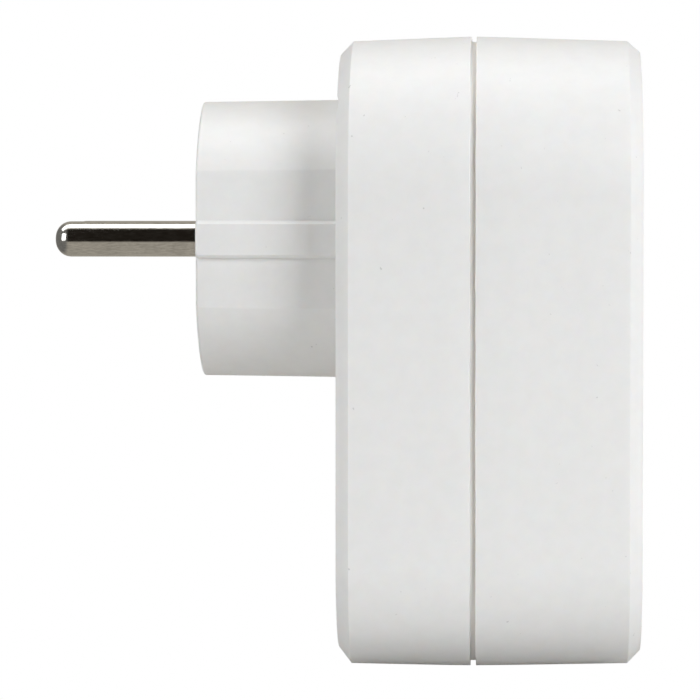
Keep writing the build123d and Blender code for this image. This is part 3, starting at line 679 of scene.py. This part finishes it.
def shell_solid(name, side, lip_seed):
    """Closed shell: side -1 is the rear half, +1 the front half. Rings run from the cavity outwards."""
    end_x = 0.0 if side < 0 else FRONT_X
    lip_x = SEAM_X + side * GROOVE_HALF
    floor_x = end_x - side * WALL
    chamfer_x = end_x - side * CHAMFER
    mid_x = (lip_x + chamfer_x) / 2
    tongue_x, tongue_inset = SEAM_X + TONGUE_HEIGHT, TONGUE_INSET
    inner = [(floor_x, WALL)]
    if side < 0:
        inner.append((SEAM_X, WALL))
    else:
        tongue_x, tongue_inset = tongue_x + TONGUE_GAP, tongue_inset - TONGUE_GAP
    inner += [(tongue_x, WALL), (tongue_x, tongue_inset), (SEAM_X, tongue_inset)]
    land = [(SEAM_X, GROOVE_DEPTH), (lip_x, GROOVE_DEPTH)]
    corner_line = [
        (lip_x, LIP_SIDE_DEPTH),
        (lip_x, 0.0),
        (chamfer_x, 0.0),
        (end_x, CHAMFER),
        (end_x, END_FACE_INSET),
    ]
    outer = rounded_profile(corner_line, [LIP_ROUND, EDGE_ROUND, EDGE_ROUND])
    stretch = [(mid_x + side * k * STRETCH_SPACING, 0.0) for k in (-1, 0, 1)]
    split = next(i for i, p in enumerate(outer) if side * (p[0] - mid_x) > 0 and p[1] < LIP_ROUND)
    outer = outer[:split] + stretch + outer[split:]
    lip_wave = ragged(LIP_WAVE, lip_seed)
    lip_height = ragged(LIP_DIP, lip_seed + LIP_HEIGHT_SEED, LIP_DIP)
    growth = chamfer_growth(side)
    rings = [outline_ring(x, inset) for x, inset in inner + land]
    for x, inset in outer:
        if abs(x - lip_x) < 2 * LIP_ROUND:
            height = lip_height if inset < GROOVE_DEPTH / 2 else None
            rings.append(outline_ring(x, inset, lip_wave, height))
            continue
        share = min(1.0, inset / CHAMFER)
        rings.append(outline_ring(x, inset, None, lambda y, z: share * growth(y, z)))
    return mesh_object(name, *ring_loft(rings), housing_white)


def plug_outline(x, radius, flat, rib, gap=0.0):
    """Closed ring: circle with a flat on each side and a rib on each flat, small rounds at the corners."""
    radius, flat, rib = radius + gap, flat + gap, rib + gap
    quarter = [
        (rib, 0.0),
        (rib, PLUG_RIB_HALF - RIB_BEVEL / 2 + gap),
        (rib - RIB_BEVEL, PLUG_RIB_HALF + RIB_BEVEL / 2 + gap),
        (flat, PLUG_RIB_HALF + RIB_BEVEL / 2 + gap),
        (flat, math.sqrt(radius * radius - flat * flat)),
    ]
    return mirrored_ring(x, rounded_profile(quarter, RIB_ROUNDS, ROUND_STEPS), radius, PLUG_ARC_STEPS)


# Rear shell: posts first, then the plug's opening and the screw holes
rear_shell = shell_solid("rear_shell_moulding", -1, 3.0)
for y, z in CASE_POINTS:
    boolean(rear_shell, cylinder_x(WALL / 2, SEAM_X - OVERLAP, CASE_BOSS_RADIUS, y, z), "UNION")
for y, z in CASE_POINTS:
    boolean(rear_shell, cylinder_x(-MM, COUNTERBORE_DEPTH, COUNTERBORE_RADIUS, y, z))
    boolean(rear_shell, cylinder_x(MM, SEAM_X + MM, SCREW_HOLE_RADIUS, y, z))
opening = [plug_outline(x, *PLUG_ROOT, PLUG_OPENING_GAP) for x in (-MM, WALL + MM)]
plug_cutter = mesh_object("plug_cutter", *ring_loft(opening), housing_white)
boolean(rear_shell, plug_cutter)
finish_cut(rear_shell)
settle(rear_shell, "housing_white", "rear_shell")

# Front shell: posts, then the socket, window and button openings with rounded mouths
window_mid_z = (window_low.z + window_high.z) / 2
WINDOW_HALF_Y = 18.0 * MM
WINDOW_HALF_Z = 8.25 * MM
WINDOW_CORNER = 1.0 * MM
MOUTH_ROUND = 0.25 * MM
CUP_OPENING = 21.5 * MM
BUTTON_GAP = 0.2 * MM
BUTTON_HALF_Y = 4.0 * MM
BUTTON_HALF_Z = 2.3 * MM
FULL_ROUND_TRIM = 0.001 * MM
inner_front = FRONT_X - WALL
button_boxes = {place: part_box(f"button_{place}") for place in ("left", "centre", "right")}
button_mid = {place: (low + high) / 2 for place, (low, high) in button_boxes.items()}

front_shell = shell_solid("front_shell_moulding", 1, 11.0)
for y, z in CASE_POINTS:
    post = cylinder_x(SEAM_X + OVERLAP, FRONT_X - WALL / 2, FRONT_BOSS_RADIUS, y, z)
    boolean(front_shell, post, "UNION")
openings = [
    circle_section(CUP_OPENING),
    rectangle_section(WINDOW_HALF_Y, WINDOW_HALF_Z, WINDOW_CORNER, 0.0, window_mid_z),
]
for middle in button_mid.values():
    half_y, half_z = BUTTON_HALF_Y + BUTTON_GAP, BUTTON_HALF_Z + BUTTON_GAP
    openings.append(rectangle_section(half_y, half_z, half_z - FULL_ROUND_TRIM, middle.y, middle.z))
for section in openings:
    flared_hole(front_shell, section, inner_front - MM, FRONT_X, MOUTH_ROUND)
finish_cut(front_shell)
settle(front_shell, "housing_white", "front_shell")

# ---- plug

PLUG_ROUND = 0.4 * MM
PLUG_FACE_X = plug_low.x
PLUG_BODY_STATIONS = (PLUG_FACE_X * 0.75, PLUG_FACE_X * 0.5, PLUG_FACE_X * 0.25, 0.0, WALL)
PLUG_FLANGE_RADIUS = 21.0 * MM
PLUG_HOLLOW_RADIUS = 14.6 * MM
PLUG_FACE_THICKNESS = 2.6 * MM
PIN_BOSS_RADIUS = 4.6 * MM
PIN_SHANK_RADIUS = 2.1 * MM
EARTH_HALF_WIDTH = 3.0 * MM
EARTH_GROOVE_GAP = 0.1 * MM
EARTH_CONTACT_Z = 17.55 * MM
EARTH_GROOVE_TOP = PLUG_FLANGE_RADIUS + 1.3 * MM
EARTH_GROOVE_ROUND = 0.15 * MM
EARTH_GROOVE_OVERRUN = 1.1 * MM
PIN_MOUTH_GAP = 0.05 * MM
PIN_MOUTH_DEPTH = 0.6 * MM
PIN_MOUTH_ROUND = 0.12 * MM
PIN_BORE_DEPTH = 0.5 * MM
PIN_BORE_GAP = 0.02 * MM


def plug_station(x, inset=0.0):
    """Plug ring at depth x on the drafted body, set inwards by inset."""
    t = max(0.0, min(1.0, (x - PLUG_FACE_X) / -PLUG_FACE_X))
    sizes = [face + (root - face) * t for face, root in zip(PLUG_FACE, PLUG_ROOT)]
    return plug_outline(x, *sizes, -inset)


plug_rings = [plug_station(PLUG_FACE_X + out, inset) for inset, out in edge_round(PLUG_ROUND)]
plug_rings += [plug_station(x) for x in PLUG_BODY_STATIONS]
for x in (WALL, plug_high.x):
    plug_rings.append([
        (x, y * PLUG_FLANGE_RADIUS / math.hypot(y, z), z * PLUG_FLANGE_RADIUS / math.hypot(y, z))
        for _, y, z in plug_station(0.0)
    ])
plug_body = mesh_object("plug_moulding", *ring_loft(plug_rings), plug_white)
for side in (-1, 1):
    half_z = (EARTH_GROOVE_TOP - EARTH_CONTACT_Z) / 2
    mid_z = side * (EARTH_CONTACT_Z + half_z)
    section = rectangle_section(
        EARTH_HALF_WIDTH + EARTH_GROOVE_GAP, half_z, EARTH_GROOVE_ROUND, 0.0, mid_z, SMALL_CORNER_STEPS
    )
    groove_ends = [(PLUG_FACE_X - EARTH_GROOVE_OVERRUN, 0.0), (plug_high.x + EARTH_GROOVE_OVERRUN, 0.0)]
    boolean(plug_body, plate_solid("groove", groove_ends, section, plug_white))
hollow = cylinder_x(PLUG_FACE_X + PLUG_FACE_THICKNESS, plug_high.x + MM, PLUG_HOLLOW_RADIUS)
for side in (-1, 1):
    boss = cylinder_x(PLUG_FACE_X, WALL, PIN_BOSS_RADIUS, side * PIN_Y)
    boolean(hollow, boss)
boolean(plug_body, hollow)
for side in (-1, 1):
    mouth = circle_section(PIN_RADIUS + PIN_MOUTH_GAP, side * PIN_Y, CUTTER_STEPS)
    flared_hole(plug_body, mouth, PLUG_FACE_X + PIN_MOUTH_DEPTH, PLUG_FACE_X, PIN_MOUTH_ROUND)
    bore = cylinder_x(PLUG_FACE_X + PIN_BORE_DEPTH, WALL + MM, PIN_SHANK_RADIUS + PIN_BORE_GAP, side * PIN_Y)
    boolean(plug_body, bore)
finish_cut(plug_body, FINE_SHARP_ANGLE)
settle(plug_body, "plug_white", "plug_body")

# Pins: turned, with a domed tip and a step down to the shank just inside the plug
TIP_ROUND = 2.1 * MM
TIP_STEPS = 12
PIN_PARTS = 8
PIN_STEP_START = 0.3 * MM
PIN_STEP_END = 0.35 * MM
PIN_SHARP_ANGLE = 60.0

pin_start = pin_low.x + TIP_ROUND
pin_profile = [(pin_low.x, POINT_RADIUS)]
pin_profile += [(pin_low.x + out, PIN_RADIUS - inset) for inset, out in edge_round(TIP_ROUND, TIP_STEPS)]
for i in range(1, PIN_PARTS):
    pin_profile.append((pin_start + (PLUG_FACE_X - pin_start) * i / PIN_PARTS, PIN_RADIUS))
pin_profile.append((PLUG_FACE_X + PIN_STEP_START, PIN_RADIUS))
pin_profile.append((PLUG_FACE_X + PIN_STEP_END, PIN_SHANK_RADIUS))
pin_profile.append((pin_high.x, PIN_SHANK_RADIUS))
for side, node in ((-1, "live_pin"), (1, "neutral_pin")):
    pin = lathe_solid(f"{node}_turned", pin_profile, nickel, side * PIN_Y, sharp_degrees=PIN_SHARP_ANGLE)
    settle(pin, "nickel_plate", node)

# Earth strips in the plug's grooves, with softened long edges
STRIP_SHARP_ANGLE = 40.0
STRIP_EDGE = 0.15 * MM
STRIP_STATION = 2 * MM


def strip_solid(name, centre_line, half_width, thickness, edge):
    """Bent flat nickel strip: centre_line lists (x, z); its section is a rectangle with softened edges."""
    points = [Vector(p) for p in centre_line]
    half = thickness / 2
    section = [
        (-half_width + edge, -half), (half_width - edge, -half),
        (half_width, -half + edge), (half_width, half - edge),
        (half_width - edge, half), (-half_width + edge, half),
        (-half_width, half - edge), (-half_width, -half + edge),
    ]
    rings = []
    for k, here in enumerate(points):
        before = points[max(k - 1, 0)]
        after = points[min(k + 1, len(points) - 1)]
        along = (after - before).normalized()
        normal = Vector((-along.y, along.x))
        scale = 1.0
        if 0 < k < len(points) - 1:
            turn = (here - before).angle(after - here)
            scale = 1.0 / math.cos(turn / 2)
        rings.append([
            (here.x + normal.x * n * scale, y, here.y + normal.y * n * scale) for y, n in section
        ])
    return mesh_object(name, *ring_loft(rings), nickel, STRIP_SHARP_ANGLE)


for side, place in ((1, "upper"), (-1, "lower")):
    low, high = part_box(f"plug_earth_contact_{place}")
    mid_z = (low.z + high.z) / 2
    strip = strip_solid(
        f"plug_earth_strip_{place}",
        [(low.x, mid_z), (low.x + STRIP_STATION, mid_z), ((low.x + high.x) / 2, mid_z), (high.x, mid_z)],
        (high.y - low.y) / 2,
        high.z - low.z,
        STRIP_EDGE,
    )
    settle(strip, "nickel_plate", f"plug_earth_contact_{place}")

# ---- socket

CLIP_THICKNESS = 0.5 * MM
CLIP_LINE = ((17.6, 18.75), (21.0, 18.75), (30.5, 17.3), (32.5, 17.3), (37.6, 18.2))
CLIP_BEND = 1.2 * MM
CLIP_EDGE = 0.1 * MM
for side, place in ((1, "upper"), (-1, "lower")):
    node = f"earth_clip_{place}"
    low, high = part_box(node)
    corners = [(x * MM, side * z * MM) for x, z in CLIP_LINE]
    line = rounded_profile(corners, [CLIP_BEND] * (len(corners) - 2), ROUND_STEPS)
    clip = strip_solid(f"{node}_sprung", line, (high.y - low.y) / 2, CLIP_THICKNESS, CLIP_EDGE)
    settle(clip, "nickel_plate", node, body=node)

# Socket cup: turned wall with a rounded mouth, guide keys, floor with pin holes, clip pockets
RECESS_RADIUS = 19.5 * MM
CUP_RADIUS = 21.4 * MM
CUP_FLANGE_RADIUS = 22.9 * MM
CUP_FLANGE_BACK = 35.8 * MM
CUP_FLANGE_FRONT = 37.8 * MM
CUP_BACK = 20.8 * MM
CUP_FLOOR = 22.8 * MM
KEY_FLAT = 17.1 * MM
KEY_HALF = 8.6 * MM
KEY_GROOVE_FLAT = 18.3 * MM
KEY_GROOVE_HALF = 2.6 * MM
SOCKET_HOLE_RADIUS = 2.7 * MM
CLIP_SLOT_HALF = 3.2 * MM
CLIP_SLOT_Z = 17.7 * MM
CLIP_POCKET_Z = 20.7 * MM
CUP_MOUTH_ROUND = 0.4 * MM
STUD_RADIUS = 1.5 * MM
STUD_END = 16.6 * MM
CUP_BOSS_RADIUS = 2.2 * MM
CUP_BOSS_Z = 12.0 * MM
CUP_BOSS_END = 16.4 * MM
SMALL_PILOT = 1.05 * MM
CUP_EDGE_ROUND = 0.25 * MM
CUP_BACK_CHAMFER = 0.3 * MM
CUP_STEPS = 160
KEY_ROUNDS = (0.25 * MM, 0.3 * MM, 0.4 * MM)
RECESS_ARC_STEPS = 60
SOCKET_HOLE_FLARE = 0.3 * MM
POCKET_ROUND = 0.3 * MM
POCKET_STOP = 2 * MM


def recess_ring(x, grow=0.0):
    """Ring of the socket's recess: a circle with a guide key each side and a groove along each key."""
    radius, flat, groove = RECESS_RADIUS + grow, KEY_FLAT + grow, KEY_GROOVE_FLAT + grow
    key_half = KEY_HALF - grow
    groove_half = KEY_GROOVE_HALF + grow
    wall_y = math.sqrt(radius * radius - key_half * key_half)
    key = rounded_profile(
        [(groove, 0.0), (groove, groove_half), (flat, groove_half), (flat, key_half), (wall_y, key_half)],
        KEY_ROUNDS,
    )
    return mirrored_ring(x, key, radius, RECESS_ARC_STEPS)


cup_profile = [
    (CUP_BACK, POINT_RADIUS),
    (CUP_BACK, CUP_RADIUS - CUP_BACK_CHAMFER),
    (CUP_BACK + CUP_BACK_CHAMFER, CUP_RADIUS),
    (CUP_FLANGE_BACK, CUP_RADIUS),
    (CUP_FLANGE_BACK, CUP_FLANGE_RADIUS),
    (CUP_FLANGE_FRONT, CUP_FLANGE_RADIUS),
    (CUP_FLANGE_FRONT, CUP_RADIUS),
]
cup_profile += [(CUP_FRONT_X - back, CUP_RADIUS - inset) for back, inset in edge_round(CUP_EDGE_ROUND)]
cup_profile.append((CUP_FRONT_X, POINT_RADIUS))
cup = lathe_solid("socket_cup_moulding", cup_profile, housing_white, steps=CUP_STEPS)
recess_rings = [recess_ring(CUP_FLOOR)]
recess_rings += [recess_ring(CUP_FRONT_X - back, out) for back, out in edge_round(CUP_MOUTH_ROUND)]
recess_rings.append(recess_ring(CUP_FRONT_X + MM, CUP_MOUTH_ROUND))
boolean(cup, mesh_object("recess", *ring_loft(recess_rings), housing_white))
boolean(cup, cylinder_x(STUD_END, CUP_BACK + MM, STUD_RADIUS), "UNION")
for side in (-1, 1):
    pin_hole = circle_section(SOCKET_HOLE_RADIUS, side * PIN_Y, CUTTER_STEPS)
    flared_hole(cup, pin_hole, CUP_BACK - MM, CUP_FLOOR, SOCKET_HOLE_FLARE)
    half_z, mid_z = (CLIP_POCKET_Z - CLIP_SLOT_Z) / 2, side * (CLIP_SLOT_Z + CLIP_POCKET_Z) / 2
    section = rectangle_section(CLIP_SLOT_HALF, half_z, POCKET_ROUND, 0.0, mid_z, SMALL_CORNER_STEPS)
    pocket_ends = [(CUP_BACK - MM, 0.0), (CUP_FRONT_X - POCKET_STOP, 0.0)]
    boolean(cup, plate_solid("pocket", pocket_ends, section, housing_white))
    boss_z = side * CUP_BOSS_Z
    boolean(cup, cylinder_x(CUP_BOSS_END, CUP_BACK + MM, CUP_BOSS_RADIUS, 0.0, boss_z), "UNION")
    boolean(cup, cylinder_x(CUP_BOSS_END - MM, CUP_BACK + MM, SMALL_PILOT, 0.0, boss_z))
finish_cut(cup, FINE_SHARP_ANGLE)
settle(cup, "housing_white", "socket_cup")

# ---- display

WINDOW_GAP = 0.1 * MM
WINDOW_EDGE = 0.3 * MM
WINDOW_FLANGE_CORNER = 0.3 * MM
section = rectangle_section(
    WINDOW_HALF_Y - WINDOW_GAP, WINDOW_HALF_Z - WINDOW_GAP, WINDOW_CORNER - WINDOW_GAP, 0.0, window_mid_z
)
stations = edge_stations(inner_front, window_high.x, WINDOW_EDGE)
window_plate = plate_solid("display_window_lens", stations, section, clear_window)
half_y, half_z = (window_high.y - window_low.y) / 2, (window_high.z - window_low.z) / 2
section = rectangle_section(half_y, half_z, WINDOW_FLANGE_CORNER, 0.0, window_mid_z, PLATE_CORNER_STEPS)
stations = [(window_low.x, 0.0), (inner_front + OVERLAP, 0.0)]
flange = plate_solid("display_window_flange", stations, section, clear_window)
boolean(window_plate, flange, "UNION")
finish_shading(window_plate)
settle(window_plate, "clear_window", "display_window")

# Liquid crystal glass with dark segments on its front face
LCD_PANE_FRONT = 35.8 * MM
LCD_LEDGE = 2.0 * MM
LCD_CORNER = 0.15 * MM


def lcd_section(ledge):
    """Ring of a glass pane, lower by the ledge at its top and bottom."""
    half_y = (lcd_high.y - lcd_low.y) / 2
    half_z = (lcd_high.z - lcd_low.z) / 2 - ledge
    return rounded_rectangle(half_y, half_z, LCD_CORNER, 0.0, window_mid_z, PLATE_CORNER_STEPS)


lcd_pane = plate_solid(
    "lcd_glass_panes", [(lcd_low.x, 0.0), (LCD_PANE_FRONT, 0.0)], lcd_section, display_glass
)
front_pane = plate_solid(
    "lcd_front_pane",
    [(LCD_PANE_FRONT - OVERLAP, LCD_LEDGE), (lcd_high.x, LCD_LEDGE)],
    lcd_section,
    display_glass,
)
boolean(lcd_pane, front_pane, "UNION")
finish_shading(lcd_pane)
settle(lcd_pane, "display_glass", "lcd_glass")

SEGMENTS = {
    "a": (0.0, 1.0, True), "b": (0.5, 0.5, False), "c": (0.5, -0.5, False), "d": (0.0, -1.0, True),
    "e": (-0.5, -0.5, False), "f": (-0.5, 0.5, False), "g": (0.0, 0.0, True),
}
DIGIT_SEGMENTS = {"0": "abcdef", "2": "abged", "3": "abgcd"}
DIGIT_WIDTH = 4.0 * MM
DIGIT_HALF_HEIGHT = 3.9 * MM
DIGIT_PITCH = 6.6 * MM
READING = "0230"
READING_SHIFT = 1.5 * MM
DOT_Y = 16.0 * MM
SEGMENT_HALF = 0.42 * MM
SEGMENT_END_GAP = 0.12 * MM
SEGMENT_THICKNESS = 0.05 * MM


def segment_outline(y, z, length, flat):
    """Six-cornered display segment centred at (y, z); flat segments lie along Y."""
    h = length / 2 - SEGMENT_END_GAP
    w = SEGMENT_HALF
    along = [(-h, 0.0), (-h + w, w), (h - w, w), (h, 0.0), (h - w, -w), (-h + w, -w)]
    if flat:
        return [(y + u, z + v) for u, v in along]
    return [(y + v, z + u) for u, v in along]


# The display is read from +X, so +Y lies to the reader's right
outlines = []
for i, digit in enumerate(READING):
    digit_y = (i - (len(READING) - 1) / 2) * DIGIT_PITCH - READING_SHIFT
    for name in DIGIT_SEGMENTS[digit]:
        u, v, flat = SEGMENTS[name]
        length = DIGIT_WIDTH if flat else DIGIT_HALF_HEIGHT
        y, z = digit_y + u * DIGIT_WIDTH, window_mid_z + v * DIGIT_HALF_HEIGHT
        outlines.append(segment_outline(y, z, length, flat))
outlines.append([
    (DOT_Y + u * SEGMENT_HALF, window_mid_z - DIGIT_HALF_HEIGHT + v * SEGMENT_HALF)
    for u, v in ((-1, -1), (1, -1), (1, 1), (-1, 1))
])
vertices, faces = [], []
for outline in outlines:
    segment_ends = (lcd_high.x - SEGMENT_THICKNESS / 2, lcd_high.x + SEGMENT_THICKNESS)
    points, quads = ring_loft([[(x, y, z) for y, z in outline] for x in segment_ends])
    faces += [tuple(len(vertices) + i for i in face) for face in quads]
    vertices += points
segments = mesh_object("lcd_segments", vertices, faces, lcd_ink)
settle(segments, "black_plastic")

# ---- buttons

BUTTON_EDGE = 0.45 * MM
BUTTON_FLANGE = 1.0 * MM
BUTTON_FLANGE_CORNER = 0.4 * MM
BUTTON_CORNER_STEPS = 12
BUTTON_EDGE_STEPS = 6
BUTTON_DISH = ((0.04, -0.9), (0.09, -1.5), (0.12, -2.1))
for place, (low, high) in button_boxes.items():
    middle = button_mid[place]
    body = f"button_{place}"
    flange_front = low.x + BUTTON_FLANGE
    stations = edge_stations(flange_front - OVERLAP, high.x, BUTTON_EDGE, BUTTON_EDGE_STEPS)
    stations += [(high.x - depth * MM, grow * MM) for depth, grow in BUTTON_DISH]
    section = rectangle_section(
        BUTTON_HALF_Y, BUTTON_HALF_Z, BUTTON_HALF_Z - FULL_ROUND_TRIM, middle.y, middle.z, BUTTON_CORNER_STEPS
    )
    cap = plate_solid(f"{body}_cap", stations, section, button_grey)
    half_y, half_z = (high.y - low.y) / 2, (high.z - low.z) / 2
    section = rectangle_section(half_y, half_z, BUTTON_FLANGE_CORNER, middle.y, middle.z, SMALL_CORNER_STEPS)
    skirt = plate_solid("skirt", [(low.x, 0.0), (flange_front, 0.0)], section, button_grey)
    boolean(cap, skirt, "UNION")
    finish_cut(cap)
    settle(cap, "button_grey", body, body=body)

# ---- screws

SCREW_TIP_X = 28.0 * MM
SHANK_RADIUS = 1.35 * MM
HEAD_RADIUS = 2.75 * MM
HEAD_HEIGHT = 2.2 * MM
HEAD_CROWN = 0.62
HEAD_DOME = 0.45
NECK_SHARE = 0.86
THREAD_ROOT = 0.74
THREAD_PITCH = 1.1 * MM
THREAD_SHARE = 0.85
CREST_START = 0.42
CREST_END = 0.58
TIP_CHAMFER = 0.05 * MM
SCREW_STEPS = 48
DRIVE_LENGTH = 0.6
DRIVE_WIDTH = 0.13
DRIVE_DEPTH = 0.55
DRIVE_CORNER = 0.06
DRIVE_TAPER = 0.04
DRIVE_OVERRUN = 0.5 * MM


def screw_profile(seat, tip):
    """(x, radius) of a screw: domed head, short neck, threaded shank and a blunt tip."""
    head_x = seat - HEAD_HEIGHT
    profile = [(head_x, POINT_RADIUS), (head_x, HEAD_RADIUS * HEAD_CROWN)]
    for a in quarter_turn(4)[1:]:
        profile.append((
            seat - HEAD_HEIGHT * (1 - HEAD_DOME * (1 - math.cos(a))),
            HEAD_RADIUS * (HEAD_CROWN + (1 - HEAD_CROWN) * math.sin(a)),
        ))
    profile += [(seat, HEAD_RADIUS), (seat, SHANK_RADIUS * NECK_SHARE)]
    count = int((tip - seat) * THREAD_SHARE / THREAD_PITCH)
    for i in range(count):
        root = tip - (count - i) * THREAD_PITCH
        profile += [
            (root, SHANK_RADIUS * THREAD_ROOT),
            (root + THREAD_PITCH * CREST_START, SHANK_RADIUS),
            (root + THREAD_PITCH * CREST_END, SHANK_RADIUS),
        ]
    return profile + [(tip - TIP_CHAMFER, SHANK_RADIUS / 2), (tip, POINT_RADIUS)]


def screw_solid(name, y, z, seat, tip):
    """Round-headed screw along X with a threaded shank and a cross recess in its head."""
    screw = lathe_solid(name, screw_profile(seat, tip), screw_steel, y, z, SCREW_STEPS)
    head_x = seat - HEAD_HEIGHT
    for share_y, share_z in ((DRIVE_LENGTH, DRIVE_WIDTH), (DRIVE_WIDTH, DRIVE_LENGTH)):
        slot = plate_solid(
            "drive",
            [(head_x - DRIVE_OVERRUN, 0.0), (head_x + HEAD_HEIGHT * DRIVE_DEPTH, -HEAD_RADIUS * DRIVE_TAPER)],
            lambda grow: rounded_rectangle(
                HEAD_RADIUS * share_y + grow,
                HEAD_RADIUS * share_z + grow,
                HEAD_RADIUS * DRIVE_CORNER,
                y,
                z,
                PLATE_CORNER_STEPS,
            ),
            screw_steel,
        )
        boolean(screw, slot)
    finish_cut(screw, FINE_SHARP_ANGLE)
    return screw


for i, (y, z) in enumerate(CASE_POINTS):
    screw = screw_solid(f"case_screw_{i + 1}", y, z, COUNTERBORE_DEPTH, SCREW_TIP_X)
    settle(screw, "screw_steel", "case_screws")

# ---- finishes of the carried-over parts

for row in frame["record"]["subparts"]:
    node = frame["nodes"][row["node"]]
    finish = FINISHES[row["material_slot"]]
    if not node.data.materials:
        node.data.materials.append(finish)
    for i in range(len(node.data.materials)):
        node.data.materials[i] = finish

# ---- camera, light and stage

IMAGE_CENTRE = Vector((0.8 * MM, 0.0, -15.4 * MM))
CAMERA_PLACE = Vector((22.8 * MM, -530.0 * MM, 4.0 * MM))

SENSOR_WIDTH = 36.0
FOCAL_LENGTH = 197.6

camera_data = bpy.data.cameras.new("camera")
camera_data.sensor_width = SENSOR_WIDTH
camera_data.lens = FOCAL_LENGTH
camera_data.clip_start = 0.01
camera_data.clip_end = 20.0
camera = bpy.data.objects.new("camera", camera_data)
camera.location = CAMERA_PLACE
camera.rotation_mode = "QUATERNION"
camera.rotation_quaternion = (IMAGE_CENTRE - CAMERA_PLACE).to_track_quat("-Z", "Y")
scene.collection.objects.link(camera)
scene.camera = camera

LIGHT_AIM = Vector((0.0, 0.0, -10.0 * MM))
LIGHT_COLOUR = (0.955, 0.975, 1.0)
OVERHEAD_SHIFT = Vector((-0.32, 0.04, 0.0))


def softbox(name, azimuth, elevation, distance, width, height, power):
    """Rectangular area light aimed at the object; azimuth runs from the camera side (-Y) towards +X."""
    a, e = math.radians(azimuth), math.radians(elevation)
    away = Vector((math.sin(a) * math.cos(e), -math.cos(a) * math.cos(e), math.sin(e)))
    data = bpy.data.lights.new(name, "AREA")
    data.shape = "RECTANGLE"
    data.size = width
    data.size_y = height
    data.energy = power
    data.color = LIGHT_COLOUR
    light = bpy.data.objects.new(name, data)
    light.location = LIGHT_AIM + away * distance
    light.rotation_mode = "QUATERNION"
    light.rotation_quaternion = (-away).to_track_quat("-Z", "Y")
    light.visible_camera = False
    scene.collection.objects.link(light)
    return light


softbox("key", 38.0, 20.0, 0.75, 0.36, 0.5, 3.17)
softbox("side", 82.0, 22.0, 0.75, 0.3, 0.7, 1.4)
softbox("fill", -54.0, 12.0, 0.75, 0.4, 0.5, 1.9)
overhead = softbox("overhead", 0.0, 90.0, 0.6, 0.9, 0.38, 2.12)
overhead.location += OVERHEAD_SHIFT
overhead.rotation_quaternion = (1.0, 0.0, 0.0, 0.0)

# World: warm grey room, dark on the camera's side from just below level to well above, mid grey at the sides
world = bpy.data.worlds.new("room")
scene.world = world
world.use_nodes = True
tree = world.node_tree
coordinates = add_node(tree, "ShaderNodeTexCoord")
split = add_node(tree, "ShaderNodeSeparateXYZ")
tree.links.new(coordinates.outputs["Generated"], split.inputs["Vector"])
forward = math_node(tree, "MULTIPLY", split.outputs["Y"], -1.0)
angle = math_node(tree, "ARCTAN2", split.outputs["Z"], forward)
turn = math_node(tree, "MULTIPLY_ADD", angle, 0.5 / math.pi, 0.5)
ROOM = (0.425, 0.4, 0.352)
DARK = (0.016, 0.013, 0.01)
SIDES = (0.2, 0.197, 0.19)
# Directions in the YZ plane, in degrees: 0 is the camera side and 90 straight up
ROOM_RAMP = ((-180.0, ROOM), (-22.0, ROOM), (-14.0, DARK), (66.0, DARK), (74.0, ROOM), (180.0, ROOM))
room = ramp(tree, turn, [(0.5 + degrees / 360.0, colour) for degrees, colour in ROOM_RAMP])
narrow = math_node(tree, "ABSOLUTE", split.outputs["X"])
side_share = ramp(tree, narrow, [(0.3, 0.0), (0.6, 1.0)])
mix = add_node(tree, "ShaderNodeMix", data_type="RGBA")
tree.links.new(side_share, mix.inputs["Factor"])
tree.links.new(room, mix.inputs["A"])
mix.inputs["B"].default_value = (*SIDES, 1.0)
tree.links.new(mix.outputs["Result"], tree.nodes["Background"].inputs["Color"])

# Floor and backdrop: plain white that glows evenly, seen by the camera only
white = bpy.data.materials.new("stage_white")
white.use_nodes = True
white.node_tree.nodes.clear()
glow = add_node(white.node_tree, "ShaderNodeEmission")
glow.inputs["Color"].default_value = (1.0, 1.0, 1.0, 1.0)
out = add_node(white.node_tree, "ShaderNodeOutputMaterial")
white.node_tree.links.new(glow.outputs["Emission"], out.inputs["Surface"])


def stage_object(name, vertices, faces):
    """Floor or backdrop mesh that only the camera sees."""
    mesh = bpy.data.meshes.new(name)
    mesh.from_pydata(vertices, [], faces)
    mesh.materials.append(white)
    obj = bpy.data.objects.new(name, mesh)
    scene.collection.objects.link(obj)
    for ray in ("diffuse", "glossy", "transmission", "shadow"):
        setattr(obj, f"visible_{ray}", False)
    return obj


def flat_quad(x, y_near, y_far, z):
    """Vertices and face of a level rectangle that reaches x to either side."""
    return [(-x, y_near, z), (x, y_near, z), (x, y_far, z), (-x, y_far, z)], [(0, 1, 2, 3)]


FLOOR_GAP = 0.5 * MM
FLOOR_HALF = 2.0
CARD_GAP = 0.1 * MM
CARD_HALF = 1.0
CARD_NEAR_Y = -0.26
CARD_COLOUR = (0.68, 0.678, 0.67)
DOME_RADIUS = 3.0
DOME_BANDS = 24
DOME_STEPS = 48

floor_z = BOTTOM_Z - FLOOR_GAP
stage_object("floor", *flat_quad(FLOOR_HALF, -FLOOR_HALF, FLOOR_HALF, floor_z))
# Card on the floor, unseen by the camera, that catches shadow and lights the object's underside
card_material = moulded_plastic("bounce_card", CARD_COLOUR, 0.9, grain=0.0)
card_shape = flat_quad(CARD_HALF, CARD_NEAR_Y, CARD_HALF, floor_z + CARD_GAP)
bounce_card = mesh_object("bounce_card", *card_shape, card_material)
bounce_card.visible_camera = False
bounce_card.visible_glossy = False
dome_rings = []
for i in range(1, DOME_BANDS):
    polar = math.pi * i / DOME_BANDS
    ring = circle_ring(DOME_RADIUS * math.sin(polar), steps=DOME_STEPS)
    dome_rings.append([(x, y, DOME_RADIUS * math.cos(polar)) for x, y in ring])
stage_object("backdrop", *ring_loft(dome_rings))

scene.view_settings.view_transform = "Standard"
